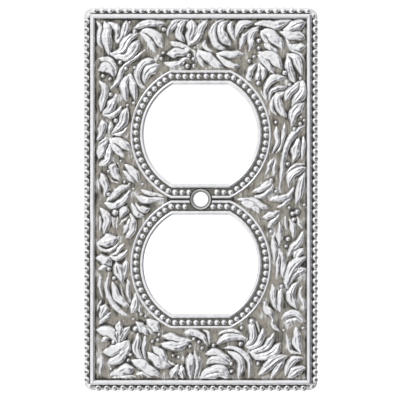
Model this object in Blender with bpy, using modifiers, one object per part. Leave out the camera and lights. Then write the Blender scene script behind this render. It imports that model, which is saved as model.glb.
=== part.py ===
"""Decorative one-gang cover plate for a duplex receptacle, foliage ornament, antiqued metal.

Frame: X is the plate's width, Z its height, the wall is the plane y = 0 and the front faces -Y.
The origin is on the axis of the centre screw hole, in the wall plane. Design values are in mm;
h is the height of a point above the wall, so a plate point (x, z, h) is world (x, -h, z).
"""

import math

import bmesh
import bpy
from mathutils import Matrix, Vector

MM = 0.001
MERGE = 0.000005

# Plate outline and hollow pan
HALF_X = 34.925
HALF_Z = 57.15
FACE_H = 3.8
PAN_LEVELS = (
    # inset from the outline, height, corner radius
    (0.0, 0.0, 2.6),
    (0.0, 1.55, 2.6),
    (0.35, 1.98, 2.4),
    (0.95, 1.98, 2.2),
    (2.0, FACE_H, 1.2),
)
HOLLOW_LEVELS = (
    (1.3, -1.0, 1.6),
    (1.3, 1.2, 1.6),
    (2.9, 2.4, 0.8),
)
GAP = 0.05
SEAT_H = FACE_H + GAP

# Outlet openings
OPEN_Z = 19.36
OPEN_R = 17.0
OPEN_FLAT = 14.73
PAN_OPEN_EXTRA = 0.6
PAN_OPEN_FLAT_EXTRA = 0.72
BEAD_PATH = 2.35
RIM_PATH = 3.62
RIM_FLAT_EXTRA = 3.92
FLAT_BEAD_PATH = 2.47
ARC_STEPS = 13

# Screw seat
SCREW_HOLE_R = 2.2
SEAT_SLEEVE_R = 2.6
SEAT_RIM_R = 3.1
PAN_HOLE_R = 2.65
SEAT_CLEAR_R = 3.4

# Foliage
FIELD_INSET = 3.6
SHEET_TOP = 4.25
SINK = 0.22
LEAF_LEAST = 0.12
LEAF_RATIO = 0.46
LEAF_MAX = 1.2
WEB_HALF_X = 9.9
WEB_HALF_Z = 1.6
BERRY_SEGMENTS = 5
BERRY_RISE = 1.35
BERRY_SINK = 0.12
BEAD_SINK = 0.06

# Each leaf: greatest width, where along its length that falls, then midrib points x, z
# from the stem end to the tip.
LEAVES = (
    # upper left
    (1.4, 0.50, -31.0, 52.9, -29.9, 51.0, -30.1, 48.5, -30.2, 46.6, -29.3, 45.1),
    (2.5, 0.60, -27.3, 43.2, -27.7, 45.6, -28.0, 48.6, -27.9, 50.6, -28.6, 52.6),
    (1.6, 0.60, -25.1, 46.8, -24.8, 49.4, -25.4, 51.4, -27.6, 52.5),
    (1.9, 0.75, -24.9, 46.6, -23.3, 48.2, -22.6, 50.3, -22.1, 53.0),
    (2.2, 0.55, -26.5, 43.1, -23.6, 44.3, -22.2, 46.6, -20.9, 48.2, -18.8, 49.2),
    (2.6, 0.70, -25.1, 42.6, -22.3, 42.4, -20.4, 43.9, -19.3, 46.0, -18.6, 47.2),
    (0.9, 0.50, -27.6, 43.9, -25.6, 42.6, -24.1, 41.4),
    (1.3, 0.75, -16.5, 44.5, -18.6, 42.6, -21.3, 40.8, -23.3, 38.6, -24.5, 35.4, -26.8, 32.8),
    (1.6, 0.70, -25.4, 37.0, -25.5, 39.2, -27.2, 41.2, -30.2, 41.9),
    (2.4, 0.70, -25.9, 36.9, -27.0, 38.6, -28.5, 39.3, -30.2, 38.5),
    (1.9, 0.82, -16.6, 33.0, -17.9, 33.9, -18.8, 36.2, -18.3, 38.8, -16.6, 40.8, -13.9, 41.3),
    (2.6, 0.60, -16.6, 34.8, -16.4, 37.0, -14.9, 38.6, -12.4, 39.8),
    (2.3, 0.65, -17.9, 49.4, -16.0, 50.1, -14.0, 49.3, -12.7, 47.4, -11.3, 45.3),
    (1.6, 0.60, -18.0, 49.3, -16.1, 48.3, -15.0, 46.3, -13.3, 43.7),
    (1.8, 0.40, -19.9, 50.7, -18.3, 51.6, -15.4, 52.3, -12.6, 52.3, -10.7, 52.3),
    (1.9, 0.50, -30.1, 35.2, -28.9, 33.6, -28.6, 31.3, -29.2, 28.9, -29.7, 26.3),
    (2.3, 0.30, -25.7, 30.2, -26.3, 28.5, -27.2, 26.9, -29.1, 25.4),
    (1.4, 0.50, -23.6, 27.7, -24.8, 26.0, -26.6, 24.9, -29.2, 25.1),
    (2.3, 0.30, -21.8, 27.1, -22.7, 25.2, -23.3, 23.0, -24.5, 21.2, -26.3, 19.9),
    (1.0, 0.50, -21.8, 21.4, -23.0, 19.9, -24.6, 19.3, -26.6, 19.4),
    (2.0, 0.25, -29.2, 23.6, -29.2, 21.8, -29.6, 19.6, -30.7, 17.7),
    (1.1, 0.40, -26.7, 23.0, -26.8, 21.5, -27.4, 19.4),
    (2.0, 0.55, -21.2, 37.2, -22.6, 34.9, -22.8, 32.3, -22.0, 29.3),
    (1.9, 0.55, -20.8, 37.3, -20.6, 35.0, -19.9, 32.4, -19.6, 29.6),
    # top centre
    (1.8, 0.45, -9.8, 48.8, -9.0, 50.8, -7.7, 52.3, -5.6, 52.9, -3.7, 53.3),
    (1.8, 0.40, -5.0, 46.9, -6.5, 49.2, -6.2, 51.2, -4.5, 53.1),
    (2.6, 0.75, -3.7, 46.1, -3.3, 48.3, -2.7, 50.5, -2.8, 53.2),
    (2.0, 0.60, -3.7, 45.8, -1.9, 47.2, -0.6, 49.2, 0.2, 51.3, 1.8, 53.1),
    (1.5, 0.65, -3.0, 44.6, -5.0, 45.3, -7.0, 46.0, -9.1, 46.8),
    (2.2, 0.70, -3.2, 44.5, -5.0, 43.8, -7.5, 43.7, -9.9, 43.2),
    (1.6, 0.65, -3.4, 41.6, -4.8, 41.7, -6.5, 40.5, -8.5, 40.0, -10.8, 40.6),
    (0.8, 0.50, -3.2, 44.6, -2.0, 44.0, -1.5, 42.8, -1.3, 40.8),
    (1.3, 0.50, -0.9, 44.1, -0.5, 42.2, 0.1, 40.6, 1.2, 39.3),
    (2.3, 0.50, -0.8, 44.2, 1.3, 42.8, 3.5, 41.1, 6.3, 39.3),
    (1.1, 0.40, 1.3, 47.4, 1.0, 45.9, 2.0, 44.7, 3.7, 43.7),
    (1.8, 0.65, 6.9, 53.4, 4.7, 52.2, 3.6, 50.4, 3.6, 48.0, 4.6, 46.0, 7.2, 44.6),
    (2.2, 0.60, 7.8, 53.0, 6.2, 51.4, 5.9, 49.6, 6.8, 47.9, 9.0, 45.8),
    (1.3, 0.35, 9.3, 52.9, 8.7, 51.2, 9.2, 49.2, 10.6, 46.9),
    (1.8, 0.70, 4.7, 43.2, 7.0, 43.3, 9.5, 43.2, 12.5, 43.1),
    (1.5, 0.60, 4.8, 42.7, 6.8, 41.1, 9.0, 39.9, 11.4, 39.6),
    # upper right
    (2.0, 0.60, 10.5, 48.3, 11.1, 50.6, 12.6, 52.2, 15.4, 52.5),
    (1.6, 0.50, 17.3, 51.2, 15.0, 49.9, 13.1, 48.4, 12.3, 46.6, 11.6, 44.7),
    (1.6, 0.50, 17.1, 50.4, 15.5, 49.4, 14.8, 47.4, 14.9, 45.7, 14.4, 43.9),
    (2.0, 0.55, 16.1, 52.0, 19.0, 52.4, 22.0, 51.8, 24.4, 52.3, 26.9, 53.2),
    (1.1, 0.50, 17.7, 50.2, 18.7, 48.0, 19.9, 46.5, 21.3, 45.2),
    (2.7, 0.50, 18.0, 49.9, 20.5, 49.3, 22.2, 47.6, 24.3, 45.1),
    (1.4, 0.50, 18.8, 46.2, 20.2, 45.2, 22.9, 43.7),
    (2.6, 0.60, 17.3, 43.6, 19.5, 42.8, 21.7, 42.2, 23.9, 39.1),
    (1.6, 0.40, 17.0, 42.8, 18.7, 41.5, 19.8, 39.8, 21.7, 37.5),
    (1.7, 0.60, 16.4, 40.3, 14.9, 38.6, 14.3, 36.7, 15.1, 35.1),
    (1.2, 0.75, 17.5, 40.3, 17.3, 38.4, 17.0, 36.6, 17.0, 35.3),
    (1.4, 0.60, 17.8, 40.0, 18.7, 38.0, 18.4, 35.6),
    (2.8, 0.70, 24.7, 50.4, 27.0, 51.1, 28.8, 52.0, 30.9, 52.4),
    (2.3, 0.60, 23.9, 49.6, 26.0, 49.0, 28.5, 48.7, 30.8, 48.0),
    (0.9, 0.50, 25.2, 48.2, 26.4, 45.6, 27.8, 43.9, 29.8, 42.9, 31.0, 41.0),
    (1.9, 0.70, 26.6, 45.9, 28.2, 45.2, 30.9, 45.5),
    (2.0, 0.50, 25.7, 43.2, 28.0, 42.1, 29.0, 40.0, 29.9, 37.1),
    (1.9, 0.55, 25.7, 42.6, 26.2, 40.0, 26.6, 37.6, 28.0, 34.8),
    (1.8, 0.65, 19.5, 30.2, 19.2, 32.0, 19.9, 34.4, 21.6, 35.9, 25.2, 36.3),
    (1.2, 0.70, 20.3, 29.6, 20.9, 31.9, 22.6, 33.1, 25.3, 33.3),
    (1.1, 0.50, 25.0, 31.9, 22.7, 31.0, 21.3, 29.0, 21.2, 26.8, 22.6, 24.9),
    (2.0, 0.60, 24.9, 31.6, 23.2, 30.5, 23.0, 28.6, 23.6, 26.6, 25.4, 24.6),
    (2.0, 0.60, 29.8, 35.2, 28.0, 33.3, 26.5, 31.9, 25.2, 29.5),
    (2.4, 0.55, 30.2, 35.1, 30.3, 32.7, 29.5, 30.8, 27.2, 27.9),
    (2.6, 0.35, 30.4, 28.3, 28.9, 27.3, 27.6, 25.3, 27.1, 22.3),
    (0.6, 0.50, 17.9, 33.2, 18.2, 31.5, 20.0, 28.6),
    # middle left
    (1.6, 0.50, -27.0, 18.0, -26.0, 16.2, -24.8, 14.4, -22.6, 12.5),
    (2.1, 0.55, -26.5, 18.0, -24.3, 17.1, -22.6, 16.2, -21.2, 14.6),
    (1.9, 0.60, -27.0, 16.2, -27.4, 14.0, -27.8, 11.6, -30.2, 10.1),
    (2.1, 0.60, -28.0, 17.2, -29.3, 15.2, -30.3, 12.2),
    (0.7, 0.50, -27.8, 18.3, -29.3, 17.2, -30.8, 15.6),
    (2.2, 0.30, -25.5, 10.6, -26.0, 9.2, -25.4, 7.4, -24.0, 5.9),
    (0.6, 0.50, -27.2, 6.6, -26.2, 5.4, -24.2, 4.8),
    (1.9, 0.30, -29.6, 7.7, -28.9, 6.0, -28.3, 3.6, -28.5, 1.0),
    (0.6, 0.50, -30.8, 5.4, -30.2, 3.9, -30.4, 1.8),
    (1.8, 0.55, -27.9, -0.6, -25.6, 1.6, -23.4, 3.2, -21.2, 4.1),
    (1.8, 0.45, -28.6, -1.1, -26.0, -1.9, -23.8, -1.1, -22.3, 0.6, -21.0, 2.5),
    (1.9, 0.50, -22.6, 10.3, -20.6, 8.7, -19.3, 6.9, -18.4, 5.2),
    (1.3, 0.50, -23.1, 8.4, -21.7, 7.2, -19.6, 5.0),
    (1.1, 0.40, -17.8, 2.9, -15.7, 1.9, -13.0, 1.3, -10.9, 0.8),
    (1.6, 0.25, -19.1, 0.7, -17.5, 0.1, -15.4, -0.2, -13.0, 0.0, -10.9, 0.0),
    (1.5, 0.70, -19.3, -1.2, -18.4, -2.6, -17.0, -3.0, -15.1, -2.8),
    (1.5, 0.60, -20.4, -1.2, -19.7, -3.3, -18.5, -4.6, -17.0, -5.1),
    (2.2, 0.35, -22.2, -2.1, -22.9, -3.4, -23.9, -5.2),
    (0.6, 0.50, -26.2, -4.9, -25.4, -6.6, -25.1, -9.2),
    (0.6, 0.50, -24.8, -4.9, -24.8, -6.8, -25.1, -9.2),
    (0.6, 0.50, -21.4, -5.0, -23.0, -6.4, -24.7, -8.0),
    (1.8, 0.80, -20.9, -4.4, -20.1, -6.3, -20.1, -8.2, -20.7, -9.9, -22.3, -11.4),
    (1.5, 0.50, -21.0, -5.8, -21.6, -7.8, -23.0, -10.0),
    (2.0, 0.50, -29.8, -2.6, -28.4, -4.5, -27.8, -6.5, -28.3, -8.4, -28.8, -10.0),
    (0.8, 0.50, -30.1, -4.6, -29.8, -7.0, -30.1, -9.6),
    (0.7, 0.50, -27.3, -4.2, -26.2, -6.2, -25.6, -8.8),
    (3.0, 0.60, -30.5, -13.1, -28.5, -12.5, -26.8, -12.0, -24.9, -11.6),
    (0.9, 0.50, -30.9, -12.8, -30.0, -14.5, -28.0, -15.2, -26.0, -14.8, -24.3, -12.8),
    (1.1, 0.45, -22.7, -13.0, -24.0, -14.6, -25.1, -16.0, -27.0, -16.9),
    (1.4, 0.45, -21.8, -15.1, -23.3, -16.7, -25.1, -17.5, -27.2, -17.0),
    # lower left
    (2.3, 0.45, -31.1, -17.4, -29.3, -17.7, -27.8, -18.4, -26.7, -19.6),
    (1.2, 0.50, -30.5, -20.9, -29.0, -20.2, -27.4, -19.7),
    (0.9, 0.40, -30.1, -21.8, -29.9, -24.5, -29.8, -27.0, -29.2, -29.6),
    (1.3, 0.60, -27.2, -21.7, -27.6, -24.2, -28.0, -26.6, -27.4, -28.9, -26.2, -30.9, -24.6, -32.8,
     -21.4, -34.8),
    (2.4, 0.75, -23.4, -24.6, -24.2, -22.2, -24.8, -20.2, -25.2, -18.8),
    (1.7, 0.70, -23.3, -24.2, -22.8, -22.1, -22.4, -20.0, -22.4, -18.2),
    (1.9, 0.50, -26.2, -24.8, -25.6, -27.0, -24.8, -29.1, -23.1, -30.8, -21.4, -31.8),
    (0.6, 0.50, -23.9, -25.0, -23.5, -27.0, -23.0, -29.0, -22.1, -30.8),
    (1.2, 0.30, -21.8, -23.8, -21.5, -26.0, -21.6, -28.0, -21.0, -30.4),
    (1.9, 0.75, -19.6, -28.2, -19.4, -30.2, -19.9, -32.2, -20.6, -33.7),
    (1.0, 0.60, -18.3, -31.3, -18.1, -32.8, -17.8, -34.0),
    (2.1, 0.35, -28.3, -31.2, -28.8, -32.9, -30.0, -35.2),
    (1.5, 0.40, -26.7, -33.8, -28.2, -35.0, -30.2, -37.0),
    (0.7, 0.50, -29.3, -29.7, -30.2, -31.2, -30.7, -33.2),
    (2.6, 0.65, -24.9, -43.2, -25.5, -41.3, -26.9, -39.6, -28.5, -38.9, -30.9, -38.8),
    (1.2, 0.60, -26.3, -40.7, -27.8, -41.2, -29.6, -42.2),
    (1.9, 0.70, -24.5, -43.3, -24.4, -40.6, -24.3, -38.6, -24.1, -36.3),
    (1.8, 0.60, -24.4, -43.1, -23.7, -41.3, -22.7, -39.7, -21.2, -37.9),
    (2.7, 0.60, -21.6, -42.2, -24.0, -43.8, -26.3, -45.0, -28.9, -45.3),
    (2.5, 0.60, -21.4, -42.4, -22.1, -44.5, -23.6, -46.5, -25.5, -47.8, -27.6, -48.6),
    (1.2, 0.50, -29.6, -46.4, -29.6, -49.0, -29.9, -52.0),
    (2.6, 0.70, -26.6, -52.2, -24.5, -51.2, -22.2, -50.6, -19.9, -50.4),
    (1.0, 0.50, -26.4, -53.0, -23.0, -52.6, -19.2, -52.7),
    (2.5, 0.40, -20.4, -47.9, -17.9, -49.0, -15.7, -50.4, -12.2, -52.4),
    (0.9, 0.50, -19.5, -52.2, -17.0, -51.7, -14.8, -53.1),
    (2.0, 0.35, -18.7, -40.0, -19.0, -42.6, -19.2, -44.8, -18.5, -46.4, -16.9, -48.0),
    (1.3, 0.35, -16.6, -40.6, -16.5, -42.5, -17.0, -44.6, -16.4, -47.6),
    (2.4, 0.50, -16.0, -35.8, -14.3, -37.2, -12.2, -39.2),
    (1.1, 0.50, -16.5, -37.4, -15.2, -38.8, -14.0, -40.1),
    (2.0, 0.50, -19.2, -36.4, -17.4, -38.4, -15.8, -40.2),
    (2.1, 0.50, -14.3, -43.8, -12.5, -45.3, -11.1, -46.9, -10.2, -49.0),
    (2.5, 0.50, -15.6, -45.6, -13.6, -47.5, -11.8, -48.9, -9.2, -49.6),
    # bottom centre
    (1.9, 0.65, -2.8, -42.1, -4.9, -42.1, -7.1, -41.5, -9.0, -40.9, -11.3, -40.6),
    (2.4, 0.60, -3.6, -42.6, -5.6, -43.3, -8.0, -43.7, -11.6, -42.8),
    (1.6, 0.35, -5.0, -39.6, -3.0, -39.6, -1.0, -39.8, 0.5, -41.0, 2.0, -43.3),
    (0.9, 0.50, 0.5, -38.7, 2.0, -39.6, 2.6, -41.3, 2.5, -43.2),
    (1.9, 0.40, 4.9, -42.9, 6.4, -41.7, 8.3, -41.0, 11.0, -40.8, 13.4, -41.6),
    (1.0, 0.40, 5.0, -40.1, 7.2, -39.2, 10.4, -39.3, 13.4, -41.2),
    (1.3, 0.50, 6.8, -44.2, 9.4, -44.1, 12.2, -45.4, 14.0, -47.6, 14.6, -50.0, 14.3, -53.0),
    (2.0, 0.60, 8.2, -45.3, 10.3, -46.4, 11.8, -48.4, 11.9, -50.6, 11.2, -52.8),
    (1.9, 0.40, 1.4, -45.9, 3.5, -45.4, 5.6, -46.0, 7.6, -47.2, 8.9, -48.4),
    (1.9, 0.40, 1.8, -48.8, 3.5, -47.6, 5.6, -48.0, 8.4, -48.9),
    (3.4, 0.50, 0.2, -53.0, 2.6, -51.6, 5.4, -51.1, 8.6, -52.6),
    (2.3, 0.30, -3.2, -45.9, -3.2, -48.0, -3.0, -50.3, -3.1, -53.2),
    (1.4, 0.40, -1.9, -45.1, -1.3, -47.5, -1.0, -49.7, -1.7, -52.9),
    (0.8, 0.50, -0.4, -46.5, -0.3, -49.6, -0.6, -52.8),
    (1.9, 0.65, -6.8, -49.1, -7.5, -50.6, -8.8, -52.8),
    (1.7, 0.50, -5.7, -49.3, -5.8, -51.2, -5.2, -53.2),
    (0.8, 0.50, -10.6, -47.0, -9.2, -48.6, -7.2, -49.4),
    # lower right
    (2.5, 0.60, 25.8, -26.3, 25.8, -23.5, 26.8, -20.8, 28.5, -18.9, 31.0, -17.2),
    (2.1, 0.60, 26.3, -25.2, 27.0, -23.0, 28.6, -21.3, 31.4, -20.8),
    (2.1, 0.60, 29.1, -24.6, 27.5, -26.0, 26.8, -28.0, 27.1, -30.2, 28.5, -32.4),
    (0.9, 0.50, 30.4, -25.3, 29.5, -27.5, 29.8, -29.2, 30.6, -31.0, 30.4, -33.4),
    (1.5, 0.40, 21.2, -25.3, 21.6, -27.0, 21.4, -29.2, 22.0, -31.2, 23.3, -33.4),
    (1.5, 0.50, 23.9, -26.6, 23.6, -28.6, 23.5, -30.8, 23.6, -33.5),
    (1.7, 0.50, 18.8, -30.5, 19.5, -32.3, 20.7, -34.0, 21.4, -35.4),
    (1.8, 0.35, 15.1, -35.4, 15.2, -37.8, 15.5, -40.3, 14.9, -42.3, 13.3, -43.6),
    (1.7, 0.50, 18.5, -38.4, 18.2, -40.6, 17.3, -42.5, 15.8, -43.7, 13.5, -44.0),
    (1.8, 0.40, 21.7, -39.8, 20.9, -41.8, 19.5, -43.7, 17.5, -44.9, 15.0, -45.3),
    (2.4, 0.70, 15.0, -45.6, 16.7, -46.8, 19.2, -46.7, 21.6, -45.4, 23.5, -42.8),
    (2.5, 0.45, 25.5, -46.6, 22.6, -47.5, 20.2, -49.4, 17.3, -52.0),
    (1.7, 0.50, 24.9, -46.9, 23.4, -49.0, 22.3, -51.0, 21.0, -53.1),
    (1.9, 0.40, 30.2, -47.2, 27.7, -47.8, 26.2, -49.5, 25.2, -52.2),
    (2.4, 0.50, 31.0, -50.2, 28.6, -50.8, 26.0, -52.8),
    (1.0, 0.50, 25.4, -39.8, 25.8, -42.0, 26.3, -44.0, 27.4, -45.4, 30.3, -45.9),
    (2.1, 0.50, 28.3, -38.1, 28.5, -41.0, 28.8, -43.5, 29.8, -45.6),
    (1.0, 0.50, 21.3, -35.2, 21.4, -36.9, 22.1, -38.3, 23.6, -39.3),
    (1.5, 0.40, 24.1, -35.6, 25.9, -34.0, 28.4, -34.0, 31.1, -36.4),
    (0.9, 0.50, 24.8, -36.9, 27.0, -36.0, 28.8, -35.8, 30.7, -36.9),
    (0.7, 0.50, 15.8, -35.6, 17.0, -37.6, 17.4, -39.6),
    # middle right
    (1.3, 0.30, 22.5, 21.6, 22.5, 19.8, 22.8, 17.2, 22.2, 15.4, 21.2, 13.6),
    (1.1, 0.25, 24.9, 22.6, 24.8, 20.0, 24.2, 17.0, 23.5, 15.0, 22.2, 13.6),
    (1.5, 0.20, 30.8, 21.9, 28.4, 19.9, 26.2, 17.4, 25.2, 15.0, 24.6, 12.0, 24.2, 8.6, 23.8, 5.8,
     23.4, 3.1),
    (2.2, 0.50, 29.0, 18.0, 28.3, 15.2, 28.0, 13.0, 27.4, 11.3),
    (1.2, 0.40, 30.5, 18.8, 30.5, 16.0, 30.2, 13.8, 30.1, 11.8),
    (0.9, 0.40, 31.0, 10.5, 28.6, 10.2, 26.8, 9.2, 25.4, 7.6),
    (2.0, 0.40, 31.1, 9.3, 29.0, 8.6, 27.2, 7.4, 26.2, 5.4, 26.3, 3.6),
    (2.0, 0.50, 30.6, 7.5, 29.9, 5.6, 29.4, 3.3, 29.2, 1.0, 28.3, -1.2),
    (1.6, 0.65, 27.6, 3.4, 26.4, 1.4, 24.5, 0.5, 22.4, 0.2, 20.6, -0.3),
    (1.1, 0.50, 27.2, 1.8, 26.2, 0.1, 24.6, -1.7, 22.6, -2.4),
    (1.1, 0.40, 21.8, 12.4, 20.6, 10.5, 20.1, 9.0, 19.2, 7.2),
    (1.0, 0.70, 22.1, 12.2, 21.9, 10.0, 21.9, 8.0, 21.7, 6.9),
    (1.7, 0.35, 21.3, 5.9, 19.6, 4.2, 17.6, 3.0, 15.4, 2.2),
    (1.4, 0.40, 21.5, 4.6, 20.4, 2.5, 18.6, 1.2, 15.8, 0.7),
    (1.7, 0.60, 10.9, -0.1, 13.6, -0.1, 16.0, -0.8, 18.0, -1.8, 20.2, -2.6),
    (1.7, 0.50, 12.0, -0.9, 14.5, -1.6, 16.5, -2.7, 17.6, -4.2),
    (1.6, 0.55, 23.4, -3.5, 21.6, -4.4, 20.0, -5.0, 18.3, -5.4),
    (1.3, 0.70, 23.3, -3.8, 22.3, -5.9, 21.1, -7.0, 19.9, -8.4),
    (1.4, 0.50, 26.3, -5.8, 27.2, -7.6, 27.5, -9.4, 27.5, -11.4),
    (0.9, 0.50, 28.4, -5.2, 29.4, -7.0, 30.4, -9.0),
    (0.8, 0.50, 25.1, -4.6, 25.2, -6.8, 25.6, -9.4),
    (1.4, 0.60, 23.3, -6.8, 23.5, -9.4, 23.5, -11.4, 23.3, -13.8),
    (1.9, 0.60, 30.4, -9.6, 29.4, -12.2, 27.7, -14.3, 26.0, -16.8),
    (2.0, 0.50, 30.4, -14.8, 28.9, -16.0, 27.9, -17.8),
    (1.0, 0.60, 23.2, -14.6, 23.1, -17.0, 22.9, -19.4, 22.7, -23.1),
    (1.4, 0.70, 23.3, -14.7, 24.3, -17.3, 24.6, -19.8, 24.5, -23.4),
    (1.5, 0.50, 21.4, -11.0, 21.8, -14.0, 22.0, -18.4),
)

# Each berry: x, z, diameter.
BERRIES = (
    (-21.2, 52.6, 0.9), (-19.7, 49.9, 1.5), (-24.0, 40.7, 1.4), (-29.1, 36.7, 1.4),
    (-27.0, 35.8, 1.2), (-22.2, 38.8, 1.1), (-19.7, 39.2, 1.1), (-11.0, 50.5, 1.4),
    (-11.2, 43.5, 1.2), (-11.7, 41.8, 1.3), (-3.6, 42.8, 1.4), (-2.2, 41.7, 1.3),
    (-4.0, 39.6, 1.5), (-2.1, 39.7, 1.3), (-1.8, 45.1, 0.8), (0.4, 49.0, 0.9),
    (17.2, 47.2, 1.5), (17.2, 45.0, 1.3), (15.8, 42.4, 1.2), (14.4, 41.1, 1.3),
    (17.1, 34.5, 1.6), (24.9, 37.6, 1.6), (29.6, 36.0, 1.1), (26.4, 34.1, 1.1),
    (27.8, 20.9, 1.4), (29.5, 22.5, 1.3), (30.7, 23.5, 1.0), (29.8, 24.4, 0.8),
    (22.3, 22.9, 1.2), (-26.8, 31.2, 1.3), (-25.3, 23.4, 1.5), (-20.0, 28.6, 1.2),
    (-21.8, 28.0, 1.0), (-23.8, 11.4, 0.9), (-24.6, 10.7, 0.7), (-27.5, 8.3, 1.1),
    (-27.4, 1.5, 1.2), (-22.7, 5.2, 1.0), (-21.2, 4.5, 1.0), (-20.0, 3.1, 1.0),
    (-17.3, 4.5, 1.0), (-25.5, -3.9, 2.0), (-24.4, -11.2, 0.8), (-27.3, -20.7, 1.3),
    (-25.8, -23.4, 1.3), (-17.8, -34.2, 1.2), (-16.4, -34.8, 1.0), (-26.0, -42.4, 1.4),
    (-20.9, -46.2, 1.2), (-21.6, -47.8, 1.1), (-26.7, -50.4, 0.9), (-19.5, -38.4, 1.8),
    (-20.1, -35.6, 1.0), (-12.4, -40.2, 1.0), (-12.8, -41.8, 1.2), (-14.4, -42.2, 1.2),
    (-2.1, -41.5, 1.1), (-0.6, -42.4, 1.2), (0.4, -44.2, 1.3), (-3.2, -43.7, 1.2),
    (-8.3, -46.4, 1.1), (-6.6, -46.9, 1.2), (3.8, -43.4, 1.2), (9.0, -49.0, 1.2),
    (9.1, -51.1, 1.3), (12.1, -38.2, 1.3), (11.8, -43.0, 1.5), (17.0, -48.8, 1.3),
    (24.6, -38.9, 1.0), (30.3, -38.3, 1.1), (15.1, -36.2, 1.9), (25.9, 10.5, 1.3),
    (22.3, 2.4, 1.1), (20.9, 5.6, 1.5), (26.3, -2.5, 1.1), (20.8, -9.6, 1.3),
    (28.6, -3.7, 1.8), (27.2, -4.2, 1.5), (27.6, -6.0, 1.5), (25.9, -11.8, 1.6),
    (25.3, -13.9, 1.2), (23.9, -25.8, 1.3), (30.7, -1.6, 1.0),
)

# Border beads
BEAD_R = 0.97
BEAD_ACROSS_R = 0.91
BEAD_INSET = 1.26
BEAD_H = 3.02
BEAD_SEGMENTS = 6
FLANK_TILT = math.radians(60.0)
STRIP_T = 0.2
STRIP_W = 1.9
STRIP_OVERRUN = 0.62
BEAD_SLIDE = 0.22
SIDE_TOP_Z = 52.8
SIDE_BOTTOM_Z = -53.6
LEFT_COUNT = 46
RIGHT_COUNT = 48
TOP_X = 31.7
TOP_COUNT = 28
BOTTOM_X = 30.5
BOTTOM_COUNT = 26
CORNER_BEAD_R = 0.92
CORNER_BEAD_H = 2.95
CORNER_BEADS = (
    ("top_left", -33.35, 54.75),
    ("top_right", 33.35, 54.75),
    ("bottom_left", -33.05, -55.55),
    ("bottom_right", 33.05, -55.55),
)

# Half-round fillet inside the beads: inset from the outline, height
FILLET_SECTION = (
    (1.99, SEAT_H),
    (2.03, 4.20),
    (2.22, 4.55),
    (2.50, 4.76),
    (2.75, 4.82),
    (3.00, 4.76),
    (3.28, 4.55),
    (3.47, 4.20),
    (3.51, SEAT_H),
)
MITRE_GAP = 0.03

# Opening surrounds: offset from the clear opening or from the wire's path, height
LIP_SECTION = (
    (0.0, 2.45),
    (0.0, 4.55),
    (0.22, 4.9),
    (0.56, 5.02),
    (0.9, 4.88),
    (1.12, 4.5),
    (1.12, SEAT_H),
    (0.55, SEAT_H),
    (0.55, 2.45),
)
LIP_FLAT_RATIO = 1.1
RIM_SECTION = (
    (-0.4, SEAT_H),
    (-0.4, 4.2),
    (-0.22, 4.62),
    (0.0, 4.75),
    (0.22, 4.62),
    (0.4, 4.2),
    (0.4, SEAT_H),
)
BAND_TOP = SEAT_H + 0.25
BAND_IN = 1.22
BAND_OUT = 3.12
BAND_FLAT_IN = 1.38
BAND_FLAT_OUT = 3.36
RING_BEAD_R = 0.85
RING_BEAD_COUNT = 58

# Countersunk screw seat: radius, height
SEAT_SECTION = (
    (SCREW_HOLE_R, 2.45),
    (SEAT_SLEEVE_R, 2.45),
    (SEAT_SLEEVE_R, SEAT_H),
    (SEAT_RIM_R, SEAT_H),
    (SEAT_RIM_R, 4.45),
    (SEAT_RIM_R - 0.15, 4.6),
    (SCREW_HOLE_R + 0.65, 4.6),
    (SCREW_HOLE_R, 3.9),
)
SEAT_STEPS = 32

SILVER = (0.63, 0.62, 0.60)
PATINA = (0.36, 0.345, 0.32)
OUT = Vector((0.0, -1.0, 0.0))


def clear_scene():
    for obj in list(bpy.data.objects):
        bpy.data.objects.remove(obj, do_unlink=True)


def new_collection(name):
    collection = bpy.data.collections.new(name)
    bpy.context.scene.collection.children.link(collection)
    return collection


def world(x, z, h):
    return Vector((x * MM, -h * MM, z * MM))


def metal(name, colour, roughness):
    material = bpy.data.materials.new(name)
    material.use_nodes = True
    shader = material.node_tree.nodes["Principled BSDF"]
    shader.inputs["Base Color"].default_value = (colour[0], colour[1], colour[2], 1.0)
    shader.inputs["Roughness"].default_value = roughness
    shader.inputs["Metallic"].default_value = 1.0
    material.diffuse_color = (colour[0], colour[1], colour[2], 1.0)
    return material


def make_object(name, bm, collection, colour=SILVER, roughness=0.35):
    bmesh.ops.recalc_face_normals(bm, faces=bm.faces[:])
    mesh = bpy.data.meshes.new(name)
    bm.to_mesh(mesh)
    bm.free()
    obj = bpy.data.objects.new(name, mesh)
    collection.objects.link(obj)
    mesh.materials.append(metal(name + "_metal", colour, roughness))
    return obj


def make_cutter(name, bm):
    obj = make_object(name, bm, CUTTERS)
    obj.hide_render = True
    obj.display_type = "WIRE"
    return obj


def combine(obj, other, operation, use_self=False):
    modifier = obj.modifiers.new(operation.lower() + "_" + other.name, "BOOLEAN")
    modifier.operation = operation
    modifier.solver = "EXACT"
    modifier.use_self = use_self
    modifier.object = other


def apply_modifiers(obj):
    graph = bpy.context.evaluated_depsgraph_get()
    mesh = bpy.data.meshes.new_from_object(obj.evaluated_get(graph))
    obj.modifiers.clear()
    obj.data = mesh


# ---------------------------------------------------------------- outlines and solids

def rect_outline(half_x, half_z, radius, steps=4):
    points = []
    corners = ((1, 1, 0.0), (-1, 1, 90.0), (-1, -1, 180.0), (1, -1, 270.0))
    for sx, sz, start in corners:
        cx = sx * (half_x - radius)
        cz = sz * (half_z - radius)
        for i in range(steps + 1):
            angle = math.radians(start + 90.0 * i / steps)
            points.append((cx + radius * math.cos(angle), cz + radius * math.sin(angle)))
    return points


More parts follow.
